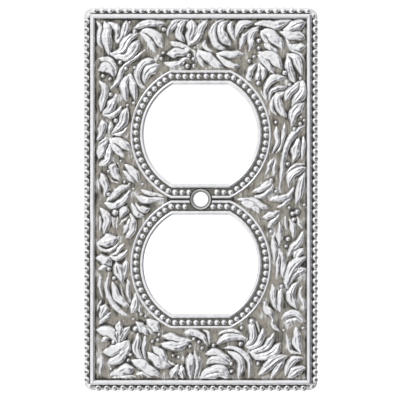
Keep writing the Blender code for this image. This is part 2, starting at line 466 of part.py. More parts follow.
def dee_outline(radius, flat, centre_z, steps=ARC_STEPS):
    """Circle cut off by a flat above and a flat below, like a receptacle's face."""
    limit = math.asin(flat / radius)
    points = []
    for start in (-limit, math.pi - limit):
        for i in range(steps + 1):
            angle = start + 2.0 * limit * i / steps
            points.append((radius * math.cos(angle), centre_z + radius * math.sin(angle)))
    return points


def slab(outline, low, high):
    """Flat outline given a thickness, as a filled and extruded curve turned into a mesh."""
    curve = bpy.data.curves.new("slab", "CURVE")
    curve.dimensions = "2D"
    curve.fill_mode = "BOTH"
    curve.extrude = (high - low) * MM / 2.0
    spline = curve.splines.new("POLY")
    spline.points.add(len(outline) - 1)
    spline.use_cyclic_u = True
    for point, (x, z) in zip(spline.points, outline):
        point.co = (x * MM, z * MM, 0.0, 1.0)
    holder = bpy.data.objects.new("slab", curve)
    bpy.context.scene.collection.objects.link(holder)
    graph = bpy.context.evaluated_depsgraph_get()
    mesh = bpy.data.meshes.new_from_object(holder.evaluated_get(graph))
    bpy.data.objects.remove(holder, do_unlink=True)
    bm = bmesh.new()
    bm.from_mesh(mesh)
    bpy.data.meshes.remove(mesh)
    bmesh.ops.remove_doubles(bm, verts=bm.verts[:], dist=MERGE)
    stand_up = Matrix.Rotation(math.pi / 2.0, 4, "X")
    middle = Matrix.Translation(world(0.0, 0.0, (low + high) / 2.0))
    bmesh.ops.transform(bm, matrix=middle @ stand_up, verts=bm.verts[:])
    return bm


def cylinder(radius, low, high):
    bm = bmesh.new()
    stand_up = Matrix.Rotation(math.pi / 2.0, 4, "X")
    middle = Matrix.Translation(world(0.0, 0.0, (low + high) / 2.0))
    bmesh.ops.create_cone(
        bm,
        cap_ends=True,
        segments=SEAT_STEPS,
        radius1=radius * MM,
        radius2=radius * MM,
        depth=(high - low) * MM,
        matrix=middle @ stand_up,
    )
    return bm


def loft(bm, rings, capped):
    """Skin matching rings of vertices; capped makes a solid, otherwise the last meets the first."""
    pairs = list(zip(rings[:-1], rings[1:]))
    if capped:
        bm.faces.new(rings[0])
        bm.faces.new(rings[-1])
    else:
        pairs.append((rings[-1], rings[0]))
    count = len(rings[0])
    for low, high in pairs:
        for i in range(count):
            j = (i + 1) % count
            bm.faces.new((low[i], low[j], high[j], high[i]))


def outline_ring(bm, outline, h):
    return [bm.verts.new(world(x, z, h)) for x, z in outline]


def plate_stack(levels, grow=0.0):
    """Solid through rounded rectangles of changing size and corner radius."""
    bm = bmesh.new()
    rings = []
    for inset, h, radius in levels:
        outline = rect_outline(HALF_X - inset + grow, HALF_Z - inset + grow, radius)
        rings.append(outline_ring(bm, outline, h))
    loft(bm, rings, True)
    return bm


def unit_dome(segments):
    """Upper half of a sphere of radius 1, closed at its equator."""
    bm = bmesh.new()
    bmesh.ops.create_uvsphere(bm, u_segments=segments, v_segments=4, radius=1.0)
    everything = bm.verts[:] + bm.edges[:] + bm.faces[:]
    bmesh.ops.bisect_plane(
        bm,
        geom=everything,
        dist=0.001,
        plane_co=(0.0, 0.0, 0.0),
        plane_no=(0.0, 0.0, 1.0),
        clear_inner=True,
    )
    bmesh.ops.holes_fill(bm, edges=bm.edges[:], sides=segments)
    mesh = bpy.data.meshes.new("unit_dome")
    bm.to_mesh(mesh)
    bm.free()
    return mesh


def add_dome(bm, mesh, centre, normal, along, radii, sink):
    """Place a dome on its seat, its base let in by sink; radii are along, across and up."""
    normal = normal.normalized()
    along = along.normalized()
    across = normal.cross(along)
    axes = (along * radii[0], across * radii[1], normal * radii[2])
    place = Matrix.Identity(4)
    for column, axis in enumerate(axes):
        for row in range(3):
            place[row][column] = axis[row] * MM
    shift = Matrix.Translation(centre - normal * (sink * MM))
    before = len(bm.verts)
    bm.from_mesh(mesh)
    bm.verts.ensure_lookup_table()
    bmesh.ops.transform(bm, matrix=shift @ place, verts=bm.verts[before:])


# ---------------------------------------------------------------- pan

def build_pan():
    pan = make_object("back_pan", plate_stack(PAN_LEVELS), PARTS, PATINA, 0.45)
    combine(pan, make_cutter("pan_hollow", plate_stack(HOLLOW_LEVELS)), "DIFFERENCE")
    for name, sign in (("pan_upper_hole", 1), ("pan_lower_hole", -1)):
        outline = dee_outline(OPEN_R + PAN_OPEN_EXTRA, OPEN_FLAT + PAN_OPEN_FLAT_EXTRA, sign * OPEN_Z)
        combine(pan, make_cutter(name, slab(outline, -2.0, 8.0)), "DIFFERENCE")
    combine(pan, make_cutter("pan_screw_hole", cylinder(PAN_HOLE_R, -2.0, 8.0)), "DIFFERENCE")
    apply_modifiers(pan)


# ---------------------------------------------------------------- border

def side_point(side, along, inset, h):
    """Point on one side of the border: along the side, inset from its edge, height."""
    if side == "top":
        return world(along, HALF_Z - inset, h)
    if side == "bottom":
        return world(along, inset - HALF_Z, h)
    if side == "left":
        return world(inset - HALF_X, along, h)
    return world(HALF_X - inset, along, h)


def side_axes(side):
    """Direction along a side, and the outward normal of its sloping flank."""
    outward = {"top": (0, 1), "bottom": (0, -1), "left": (-1, 0), "right": (1, 0)}[side]
    outward = Vector((outward[0], 0.0, outward[1]))
    normal = outward * math.sin(FLANK_TILT) + OUT * math.cos(FLANK_TILT)
    along = Vector((abs(outward.z), 0.0, abs(outward.x)))
    return along, normal


def build_bead_strip(side, first, last, count):
    name = "bead_strip_" + side
    along, normal = side_axes(side)
    across = normal.cross(along)
    down_slope = across if across.y > 0.0 else -across
    length = abs(last - first) + 2.0 * STRIP_OVERRUN
    middle = side_point(side, (first + last) / 2.0, BEAD_INSET, BEAD_H) - normal * (STRIP_T * MM / 2.0)
    sizes = (along * (length * MM), across * (STRIP_W * MM), normal * (STRIP_T * MM))
    place = Matrix.Translation(middle)
    for column, axis in enumerate(sizes):
        for row in range(3):
            place[row][column] = axis[row]
    bm = bmesh.new()
    bmesh.ops.create_cube(bm, size=1.0, matrix=place)
    strip = make_object(name, bm, PARTS)
    beads = bmesh.new()
    for i in range(count):
        place_along = first + (last - first) * i / (count - 1)
        centre = side_point(side, place_along, BEAD_INSET, BEAD_H) + down_slope * (BEAD_SLIDE * MM)
        add_dome(beads, DOME_6, centre, normal, along, (BEAD_R, BEAD_ACROSS_R, BEAD_R), BEAD_SINK)
    combine(strip, make_cutter(name + "_beads", beads), "UNION")
    apply_modifiers(strip)


def build_corner_bead(name, x, z):
    bm = bmesh.new()
    bmesh.ops.create_icosphere(bm, subdivisions=1, radius=CORNER_BEAD_R * MM)
    bmesh.ops.translate(bm, verts=bm.verts[:], vec=world(x, z, CORNER_BEAD_H))
    bead = make_object("corner_bead_" + name, bm, PARTS)
    combine(bead, CORNER_CUTTER, "DIFFERENCE")
    apply_modifiers(bead)


def build_fillet(side):
    """Half-round bar with mitred ends."""
    bm = bmesh.new()
    half = HALF_X if side in ("top", "bottom") else HALF_Z
    ends = []
    for sign in (-1, 1):
        ring = []
        for inset, h in FILLET_SECTION:
            ring.append(bm.verts.new(side_point(side, sign * (half - inset - MITRE_GAP), inset, h)))
        ends.append(ring)
    loft(bm, ends, True)
    make_object("fillet_" + side, bm, PARTS)


# ---------------------------------------------------------------- opening surrounds

def build_lip(name, sign):
    bm = bmesh.new()
    rings = []
    for offset, h in LIP_SECTION:
        outline = dee_outline(OPEN_R + offset, OPEN_FLAT + offset * LIP_FLAT_RATIO, sign * OPEN_Z)
        rings.append(outline_ring(bm, outline, h))
    loft(bm, rings, False)
    make_object(name, bm, PARTS)


def build_rim_wire(name, sign):
    bm = bmesh.new()
    rings = []
    for offset, h in RIM_SECTION:
        radius = OPEN_R + RIM_PATH + offset
        flat = OPEN_FLAT + RIM_FLAT_EXTRA + offset
        rings.append(outline_ring(bm, dee_outline(radius, flat, sign * OPEN_Z), h))
    loft(bm, rings, False)
    wire = make_object(name, bm, PARTS)
    combine(wire, SEAT_CUTTER, "DIFFERENCE")
    apply_modifiers(wire)


def dee_path(radius, flat, count):
    """Evenly spaced points and directions round a circle cut off by two flats."""
    limit = math.asin(flat / radius)
    half_flat = radius * math.cos(limit)
    arc = 2.0 * limit * radius
    total = 2.0 * arc + 4.0 * half_flat
    places = []
    for i in range(count):
        s = total * i / count
        side = 0.0
        if s >= arc + 2.0 * half_flat:
            s -= arc + 2.0 * half_flat
            side = math.pi
        turn = math.cos(side)
        if s < arc:
            angle = side - limit + s / radius
            places.append((radius * math.cos(angle), radius * math.sin(angle), angle))
        else:
            x = half_flat - (s - arc)
            places.append((x * turn, flat * turn, side + math.pi / 2.0))
    return places


def build_bead_ring(name, sign):
    bm = bmesh.new()
    inner = (OPEN_R + BAND_IN, OPEN_FLAT + BAND_FLAT_IN)
    outer = (OPEN_R + BAND_OUT, OPEN_FLAT + BAND_FLAT_OUT)
    corners = ((inner, SEAT_H), (inner, BAND_TOP), (outer, BAND_TOP), (outer, SEAT_H))
    rings = []
    for (radius, flat), h in corners:
        rings.append(outline_ring(bm, dee_outline(radius, flat, sign * OPEN_Z), h))
    loft(bm, rings, False)
    ring = make_object(name, bm, PARTS)
    beads = bmesh.new()
    radii = (RING_BEAD_R, RING_BEAD_R, RING_BEAD_R)
    for x, z, angle in dee_path(OPEN_R + BEAD_PATH, OPEN_FLAT + FLAT_BEAD_PATH, RING_BEAD_COUNT):
        plate_z = z + sign * OPEN_Z
        if math.hypot(x, plate_z) < SEAT_CLEAR_R + RING_BEAD_R * 0.75:
            continue
        along = Vector((-math.sin(angle), 0.0, math.cos(angle)))
        add_dome(beads, DOME_6, world(x, plate_z, BAND_TOP), OUT, along, radii, BEAD_SINK)
    combine(ring, make_cutter(name + "_beads", beads), "UNION")
    combine(ring, SEAT_CUTTER, "DIFFERENCE")
    apply_modifiers(ring)


def build_screw_seat():
    bm = bmesh.new()
    ring = [bm.verts.new(world(radius, 0.0, h)) for radius, h in SEAT_SECTION]
    for i, vert in enumerate(ring):
        bm.edges.new((vert, ring[(i + 1) % len(ring)]))
    seat = make_object("screw_seat", bm, PARTS)
    screw = seat.modifiers.new("turn", "SCREW")
    screw.axis = "Y"
    screw.steps = SEAT_STEPS
    screw.render_steps = SEAT_STEPS
    screw.use_merge_vertices = True
    screw.merge_threshold = MERGE
    screw.use_normal_calculate = True
    screw.use_normal_flip = True


# ---------------------------------------------------------------- foliage

def spline_points(points, stations):
    """Catmull-Rom curve through the midrib points, sampled at equal parameter steps."""
    padded = [points[0] * 2.0 - points[1]] + points + [points[-1] * 2.0 - points[-2]]
    spans = len(points) - 1
    result = []
    for i in range(stations):
        t = spans * i / (stations - 1)
        k = min(int(t), spans - 1)
        u = t - k
        p0, p1, p2, p3 = padded[k:k + 4]
        place = p1 * 2.0 + (p2 - p0) * u
        place += (p0 * 2.0 - p1 * 5.0 + p2 * 4.0 - p3) * u * u
        place += (p1 * 3.0 - p0 - p2 * 3.0 + p3) * u * u * u
        result.append(place * 0.5)
    return result


def leaf_share(t, belly):
    """Width at t as a share of the leaf's greatest: pointed at both ends, fullest at belly."""
    u = t / belly if t < belly else (1.0 - t) / (1.0 - belly)
    return 0.12 + 0.88 * math.sin(u * math.pi / 2.0) ** 0.9


def add_leaf(bm, leaf):
    """Ridged leaf, three-sided in section, its base let into the sheet and both ends pointed."""
    width = leaf[0]
    belly = leaf[1]
    points = [Vector((leaf[i], leaf[i + 1])) for i in range(2, len(leaf), 2)]
    stations = max(5, len(points) + 1)
    curve = spline_points(points, stations)
    full = min(LEAF_MAX, LEAF_LEAST + LEAF_RATIO * width)
    base_h = SHEET_TOP - SINK
    rings = []
    for i in range(1, stations - 1):
        direction = (curve[i + 1] - curve[i - 1]).normalized()
        side = Vector((-direction.y, direction.x))
        share = leaf_share(i / (stations - 1), belly)
        height = full * (0.25 + 0.75 * share)
        half = 0.5 * width * share * (height + SINK) / height
        left = curve[i] + side * half
        right = curve[i] - side * half
        ring = (
            bm.verts.new(world(left.x, left.y, base_h)),
            bm.verts.new(world(curve[i].x, curve[i].y, SHEET_TOP + height)),
            bm.verts.new(world(right.x, right.y, base_h)),
        )
        rings.append(ring)
    stem = bm.verts.new(world(curve[0].x, curve[0].y, SHEET_TOP - 0.04))
    tip = bm.verts.new(world(curve[-1].x, curve[-1].y, SHEET_TOP - 0.04))
    for i in range(3):
        j = (i + 1) % 3
        bm.faces.new((stem, rings[0][i], rings[0][j]))
        bm.faces.new((tip, rings[-1][i], rings[-1][j]))
        for low, high in zip(rings[:-1], rings[1:]):
            bm.faces.new((low[i], low[j], high[j], high[i]))


def build_foliage():
    half_x = HALF_X - FIELD_INSET
    half_z = HALF_Z - FIELD_INSET
    sheet = slab(rect_outline(half_x + 1.0, half_z + 1.0, 0.5, 2), SEAT_H, SHEET_TOP)
    panel = make_object("foliage_panel", sheet, PARTS, SILVER, 0.4)

    stock = bmesh.new()
    for leaf in LEAVES:
        add_leaf(stock, leaf)
    for x, z, diameter in BERRIES:
        radius = diameter / 2.0
        radii = (radius, radius, radius * BERRY_RISE)
        add_dome(stock, DOME_5, world(x, z, SHEET_TOP), OUT, Vector((1, 0, 0)), radii, BERRY_SINK)
    bmesh.ops.recalc_face_normals(stock, faces=stock.faces[:])
    bmesh.ops.triangulate(stock, faces=stock.faces[:])
    combine(panel, make_cutter("leaf_stock", stock), "UNION", True)

    field = slab(rect_outline(half_x, half_z, 0.3, 2), 2.0, 8.0)
    combine(panel, make_cutter("field_bounds", field), "INTERSECT")
    for name, sign in (("field_upper_clear", 1), ("field_lower_clear", -1)):
        radius = OPEN_R + RIM_PATH + 0.4 + GAP
        flat = OPEN_FLAT + RIM_FLAT_EXTRA + 0.4 + GAP
        outline = dee_outline(radius, flat, sign * OPEN_Z)
        combine(panel, make_cutter(name, slab(outline, 1.0, 9.0)), "DIFFERENCE")
    web = slab(rect_outline(WEB_HALF_X, WEB_HALF_Z, 0.2, 2), 0.5, 9.5)
    combine(panel, make_cutter("web_clear", web), "DIFFERENCE")
    apply_modifiers(panel)
    bm = bmesh.new()
    bm.from_mesh(panel.data)
    bmesh.ops.remove_doubles(bm, verts=bm.verts[:], dist=0.000004)
    bmesh.ops.dissolve_degenerate(bm, dist=0.000002, edges=bm.edges[:])
    bm.to_mesh(panel.data)
    bm.free()


clear_scene()
PARTS = new_collection("duplex_outlet_cover")
CUTTERS = new_collection("cutters")
DOME_6 = unit_dome(BEAD_SEGMENTS)
DOME_5 = unit_dome(BERRY_SEGMENTS)
SEAT_CUTTER = make_cutter("seat_clear", cylinder(SEAT_CLEAR_R, 1.5, 8.5))
CORNER_CUTTER = make_cutter("corner_clear", plate_stack(PAN_LEVELS, GAP))

build_pan()
build_foliage()
for border_side in ("top", "bottom", "left", "right"):
    build_fillet(border_side)
build_bead_strip("top", -TOP_X, TOP_X, TOP_COUNT)
build_bead_strip("bottom", -BOTTOM_X, BOTTOM_X, BOTTOM_COUNT)
build_bead_strip("left", SIDE_BOTTOM_Z, SIDE_TOP_Z, LEFT_COUNT)
build_bead_strip("right", SIDE_BOTTOM_Z, SIDE_TOP_Z, RIGHT_COUNT)
for corner, corner_x, corner_z in CORNER_BEADS:
    build_corner_bead(corner, corner_x, corner_z)
for prefix, up in (("upper", 1), ("lower", -1)):
    build_lip(prefix + "_opening_lip", up)
    build_bead_ring(prefix + "_bead_ring", up)
    build_rim_wire(prefix + "_rim_wire", up)
build_screw_seat()
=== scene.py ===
import math

import bmesh
import bpy
import numpy as np
from mathutils import Matrix, Vector


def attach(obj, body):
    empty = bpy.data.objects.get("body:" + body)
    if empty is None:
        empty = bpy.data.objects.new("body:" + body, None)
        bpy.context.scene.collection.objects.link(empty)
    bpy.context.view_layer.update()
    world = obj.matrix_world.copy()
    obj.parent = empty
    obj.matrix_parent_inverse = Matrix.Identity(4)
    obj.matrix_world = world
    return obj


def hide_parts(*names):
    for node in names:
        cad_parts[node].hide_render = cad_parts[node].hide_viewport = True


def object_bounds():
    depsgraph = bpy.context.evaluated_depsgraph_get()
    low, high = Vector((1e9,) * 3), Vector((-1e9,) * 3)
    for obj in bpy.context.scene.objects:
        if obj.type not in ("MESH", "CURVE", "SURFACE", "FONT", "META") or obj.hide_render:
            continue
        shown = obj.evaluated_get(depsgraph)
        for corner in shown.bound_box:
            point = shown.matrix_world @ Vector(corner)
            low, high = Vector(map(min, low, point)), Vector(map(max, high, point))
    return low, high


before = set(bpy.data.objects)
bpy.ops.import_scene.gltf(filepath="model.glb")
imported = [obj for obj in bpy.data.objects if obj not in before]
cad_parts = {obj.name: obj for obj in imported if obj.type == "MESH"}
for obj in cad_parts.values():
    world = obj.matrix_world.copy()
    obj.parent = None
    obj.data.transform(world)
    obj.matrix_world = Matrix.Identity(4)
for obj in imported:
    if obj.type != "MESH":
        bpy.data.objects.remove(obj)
CAD_LOW, CAD_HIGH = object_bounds()

# Sizes in millimetres, heights measured forward from the wall
MM = 0.001
HALF_X = 34.925
HALF_Z = 57.15
PAN_LEVELS = (
    # inset from the outline, height, corner radius
    (0.35, 0.0, 2.3),
    (0.1, 0.1, 2.5),
    (0.0, 0.35, 2.6),
    (0.0, 1.3, 2.6),
    (0.08, 1.65, 2.55),
    (0.35, 1.95, 2.4),
    (0.95, 1.98, 2.2),
    (1.75, 3.45, 1.35),
    (2.0, 3.8, 1.2),
)
HOLLOW_LEVELS = (
    (1.3, -1.0, 1.6),
    (1.3, 1.2, 1.6),
    (1.6, 1.9, 1.5),
    (2.2, 2.3, 1.2),
    (2.9, 2.4, 0.8),
)
CORNER_STEPS = 12
GAP = 0.05
SEAT_H = 3.85
UNDERSIDE_H = 2.45
PAN_CUT = (-2.0, 8.0)
SEAT_CUT = (1.5, 8.5)

# Outlet openings
OPEN_Z = 19.36
OPEN_R = 17.0
OPEN_FLAT = 14.73
PAN_OPEN_EXTRA = 0.6
PAN_OPEN_FLAT_EXTRA = 0.72
LIP_W = 1.12
LIP_LEG_W = 0.55
LIP_SPRING = 4.55
LIP_TOP = 5.02
LIP_FLAT_RATIO = 1.1
RIM_PATH = 3.62
RIM_FLAT_EXTRA = 3.92
RIM_HALF_W = 0.45
RIM_SPRING = 4.25
RIM_TOP = 4.75
BEAD_PATH = 2.35
FLAT_BEAD_PATH = 2.47
BAND_TOP = 4.10
BAND_IN = 1.22
BAND_OUT = 3.12
BAND_FLAT_IN = 1.38
BAND_FLAT_OUT = 3.36
RING_BEAD_R = 0.93
RING_BEAD_COUNT = 58
RING_JITTER = 0.05
ARC_STEPS = 48
FLAT_STEPS = 24

# Screw seat: its section is radius, height
PAN_HOLE_R = 2.65
SEAT_CLEAR_R = 3.4
SEAT_SECTION = (
    (2.2, UNDERSIDE_H),
    (2.6, UNDERSIDE_H),
    (2.6, SEAT_H),
    (3.1, SEAT_H),
    (3.1, 4.42),
    (3.04, 4.54),
    (2.92, 4.6),
    (2.9, 4.6),
    (2.8, 4.56),
    (2.2, 3.9),
)

# Border: strips lie on the sloping flank, and each bead is a whole ball set into its strip
BEAD_R = 1.05
BEAD_ACROSS_R = 0.99
BEAD_INSET = 1.26
BEAD_H = 3.02
BEAD_SINK = 0.06
BALL_INSET = 1.0
BALL_H = 3.38
FLANK_TILT = math.radians(60.0)
# Shallow dent on each bead of a side, with a painted dark reflection dot over it: radius, outward shift
# from the bead's middle
DENT_AND_REFLECTION_DOTS = {"top": (0.0, 0.0), "bottom": (0.50, -0.10), "left": (0.52, 0.26), "right": (0.58, 0.34)}
PIT_DEPTH = 0.07
STRIP_DARK = 0.86
BEAD_DRIFT = 0.04
STRIP_T = 0.2
STRIP_W = 1.9
STRIP_OVERRUN = 0.62
SIDE_TOP_Z = 52.8
SIDE_BOTTOM_Z = -53.6
LEFT_COUNT = 46
RIGHT_COUNT = 48
TOP_X = 31.7
TOP_COUNT = 28
BOTTOM_X = 30.5
BOTTOM_COUNT = 26
CORNER_BEAD_R = 0.92
CORNER_BEAD_H = 2.95
CORNER_BEADS = (
    ("top_left", -33.35, 54.75),
    ("top_right", 33.35, 54.75),
    ("bottom_left", -33.05, -55.55),
    ("bottom_right", 33.05, -55.55),
)
FILLET_INSET = 2.75
FILLET_HALF_W = 0.76
FILLET_SPRING = 4.15
FILLET_TOP = 4.82
FILLET_STEP = 0.8
FILLET_WAVE = 0.05
WAVE_SPAN = 7
MITRE_GAP = 0.03

# Foliage field: the grid is computed finely and the mesh takes every second point
SHEET_TOP = 4.25
LEAF_LEAST = 0.12
LEAF_RATIO = 0.46
LEAF_MAX = 1.2
BERRY_RISE = 1.35
WEB_HALF_X = 9.9
WEB_HALF_Z = 1.6
FINE = 0.075
STRIDE = 2
COLUMNS = 849
ROWS = 1441
FIELD_X = FINE * (COLUMNS - 1) / 2
FIELD_Z = FINE * (ROWS - 1) / 2
UNDER_WIRE_R = OPEN_R + RIM_PATH
UNDER_WIRE_FLAT = OPEN_FLAT + RIM_FLAT_EXTRA
SEAM_EPS = 0.001
FAR = 9.0
CURVE_STEPS = 10
MOAT_W = 0.36
MOAT_DEPTH = 0.30
FLANK_W = 0.5
LEAF_SPREAD = 1.15
LEAF_WAVE = 0.13
BORDER_X = HALF_X - FILLET_INSET - FILLET_HALF_W
BORDER_Z = HALF_Z - FILLET_INSET - FILLET_HALF_W
GUTTER_DEPTH = 0.22
FLANK_SHARE = 0.38
EDGE_BLUR = 0.075

# Finish and light
SILVER_TONE = (0.93, 0.93, 0.94)
SEAT_TONE = (0.62, 0.62, 0.60)
PAN_TONE = (0.86, 0.86, 0.85)
GROUND_TONE = (0.325, 0.305, 0.265)
DARK_TONE = (0.012, 0.010, 0.008)
CHANNEL_DARK = 0.62
CREASE_REACH = 0.7
DARK_SIDE = (0.80, -0.25, -0.42)
DARK_EDGE = (0.28, 0.85)
TENT_BRIGHT = 0.95
TENT_DARK = 0.20
SHADE_TINT = (0.88, 0.88, 1.0, 1.0)
FLOOR_GLOW = 0.9
FLOOR_DROP = 0.0002
BACKDROP = 1.05
LIGHTS = (
    # name, place, size, power
    ("key_light", (-0.35, -0.55, 0.45), 0.3, 0.8),
    ("fill_light", (0.45, -0.50, 0.05), 0.3, 0.05),
)
AIM_X = -0.00024
AIM_Z = -0.00021
FACE_Y = -0.004
CAMERA_DISTANCE = 0.446
FRAME_WIDTH = 0.1190
OUT = Vector((0.0, -1.0, 0.0))

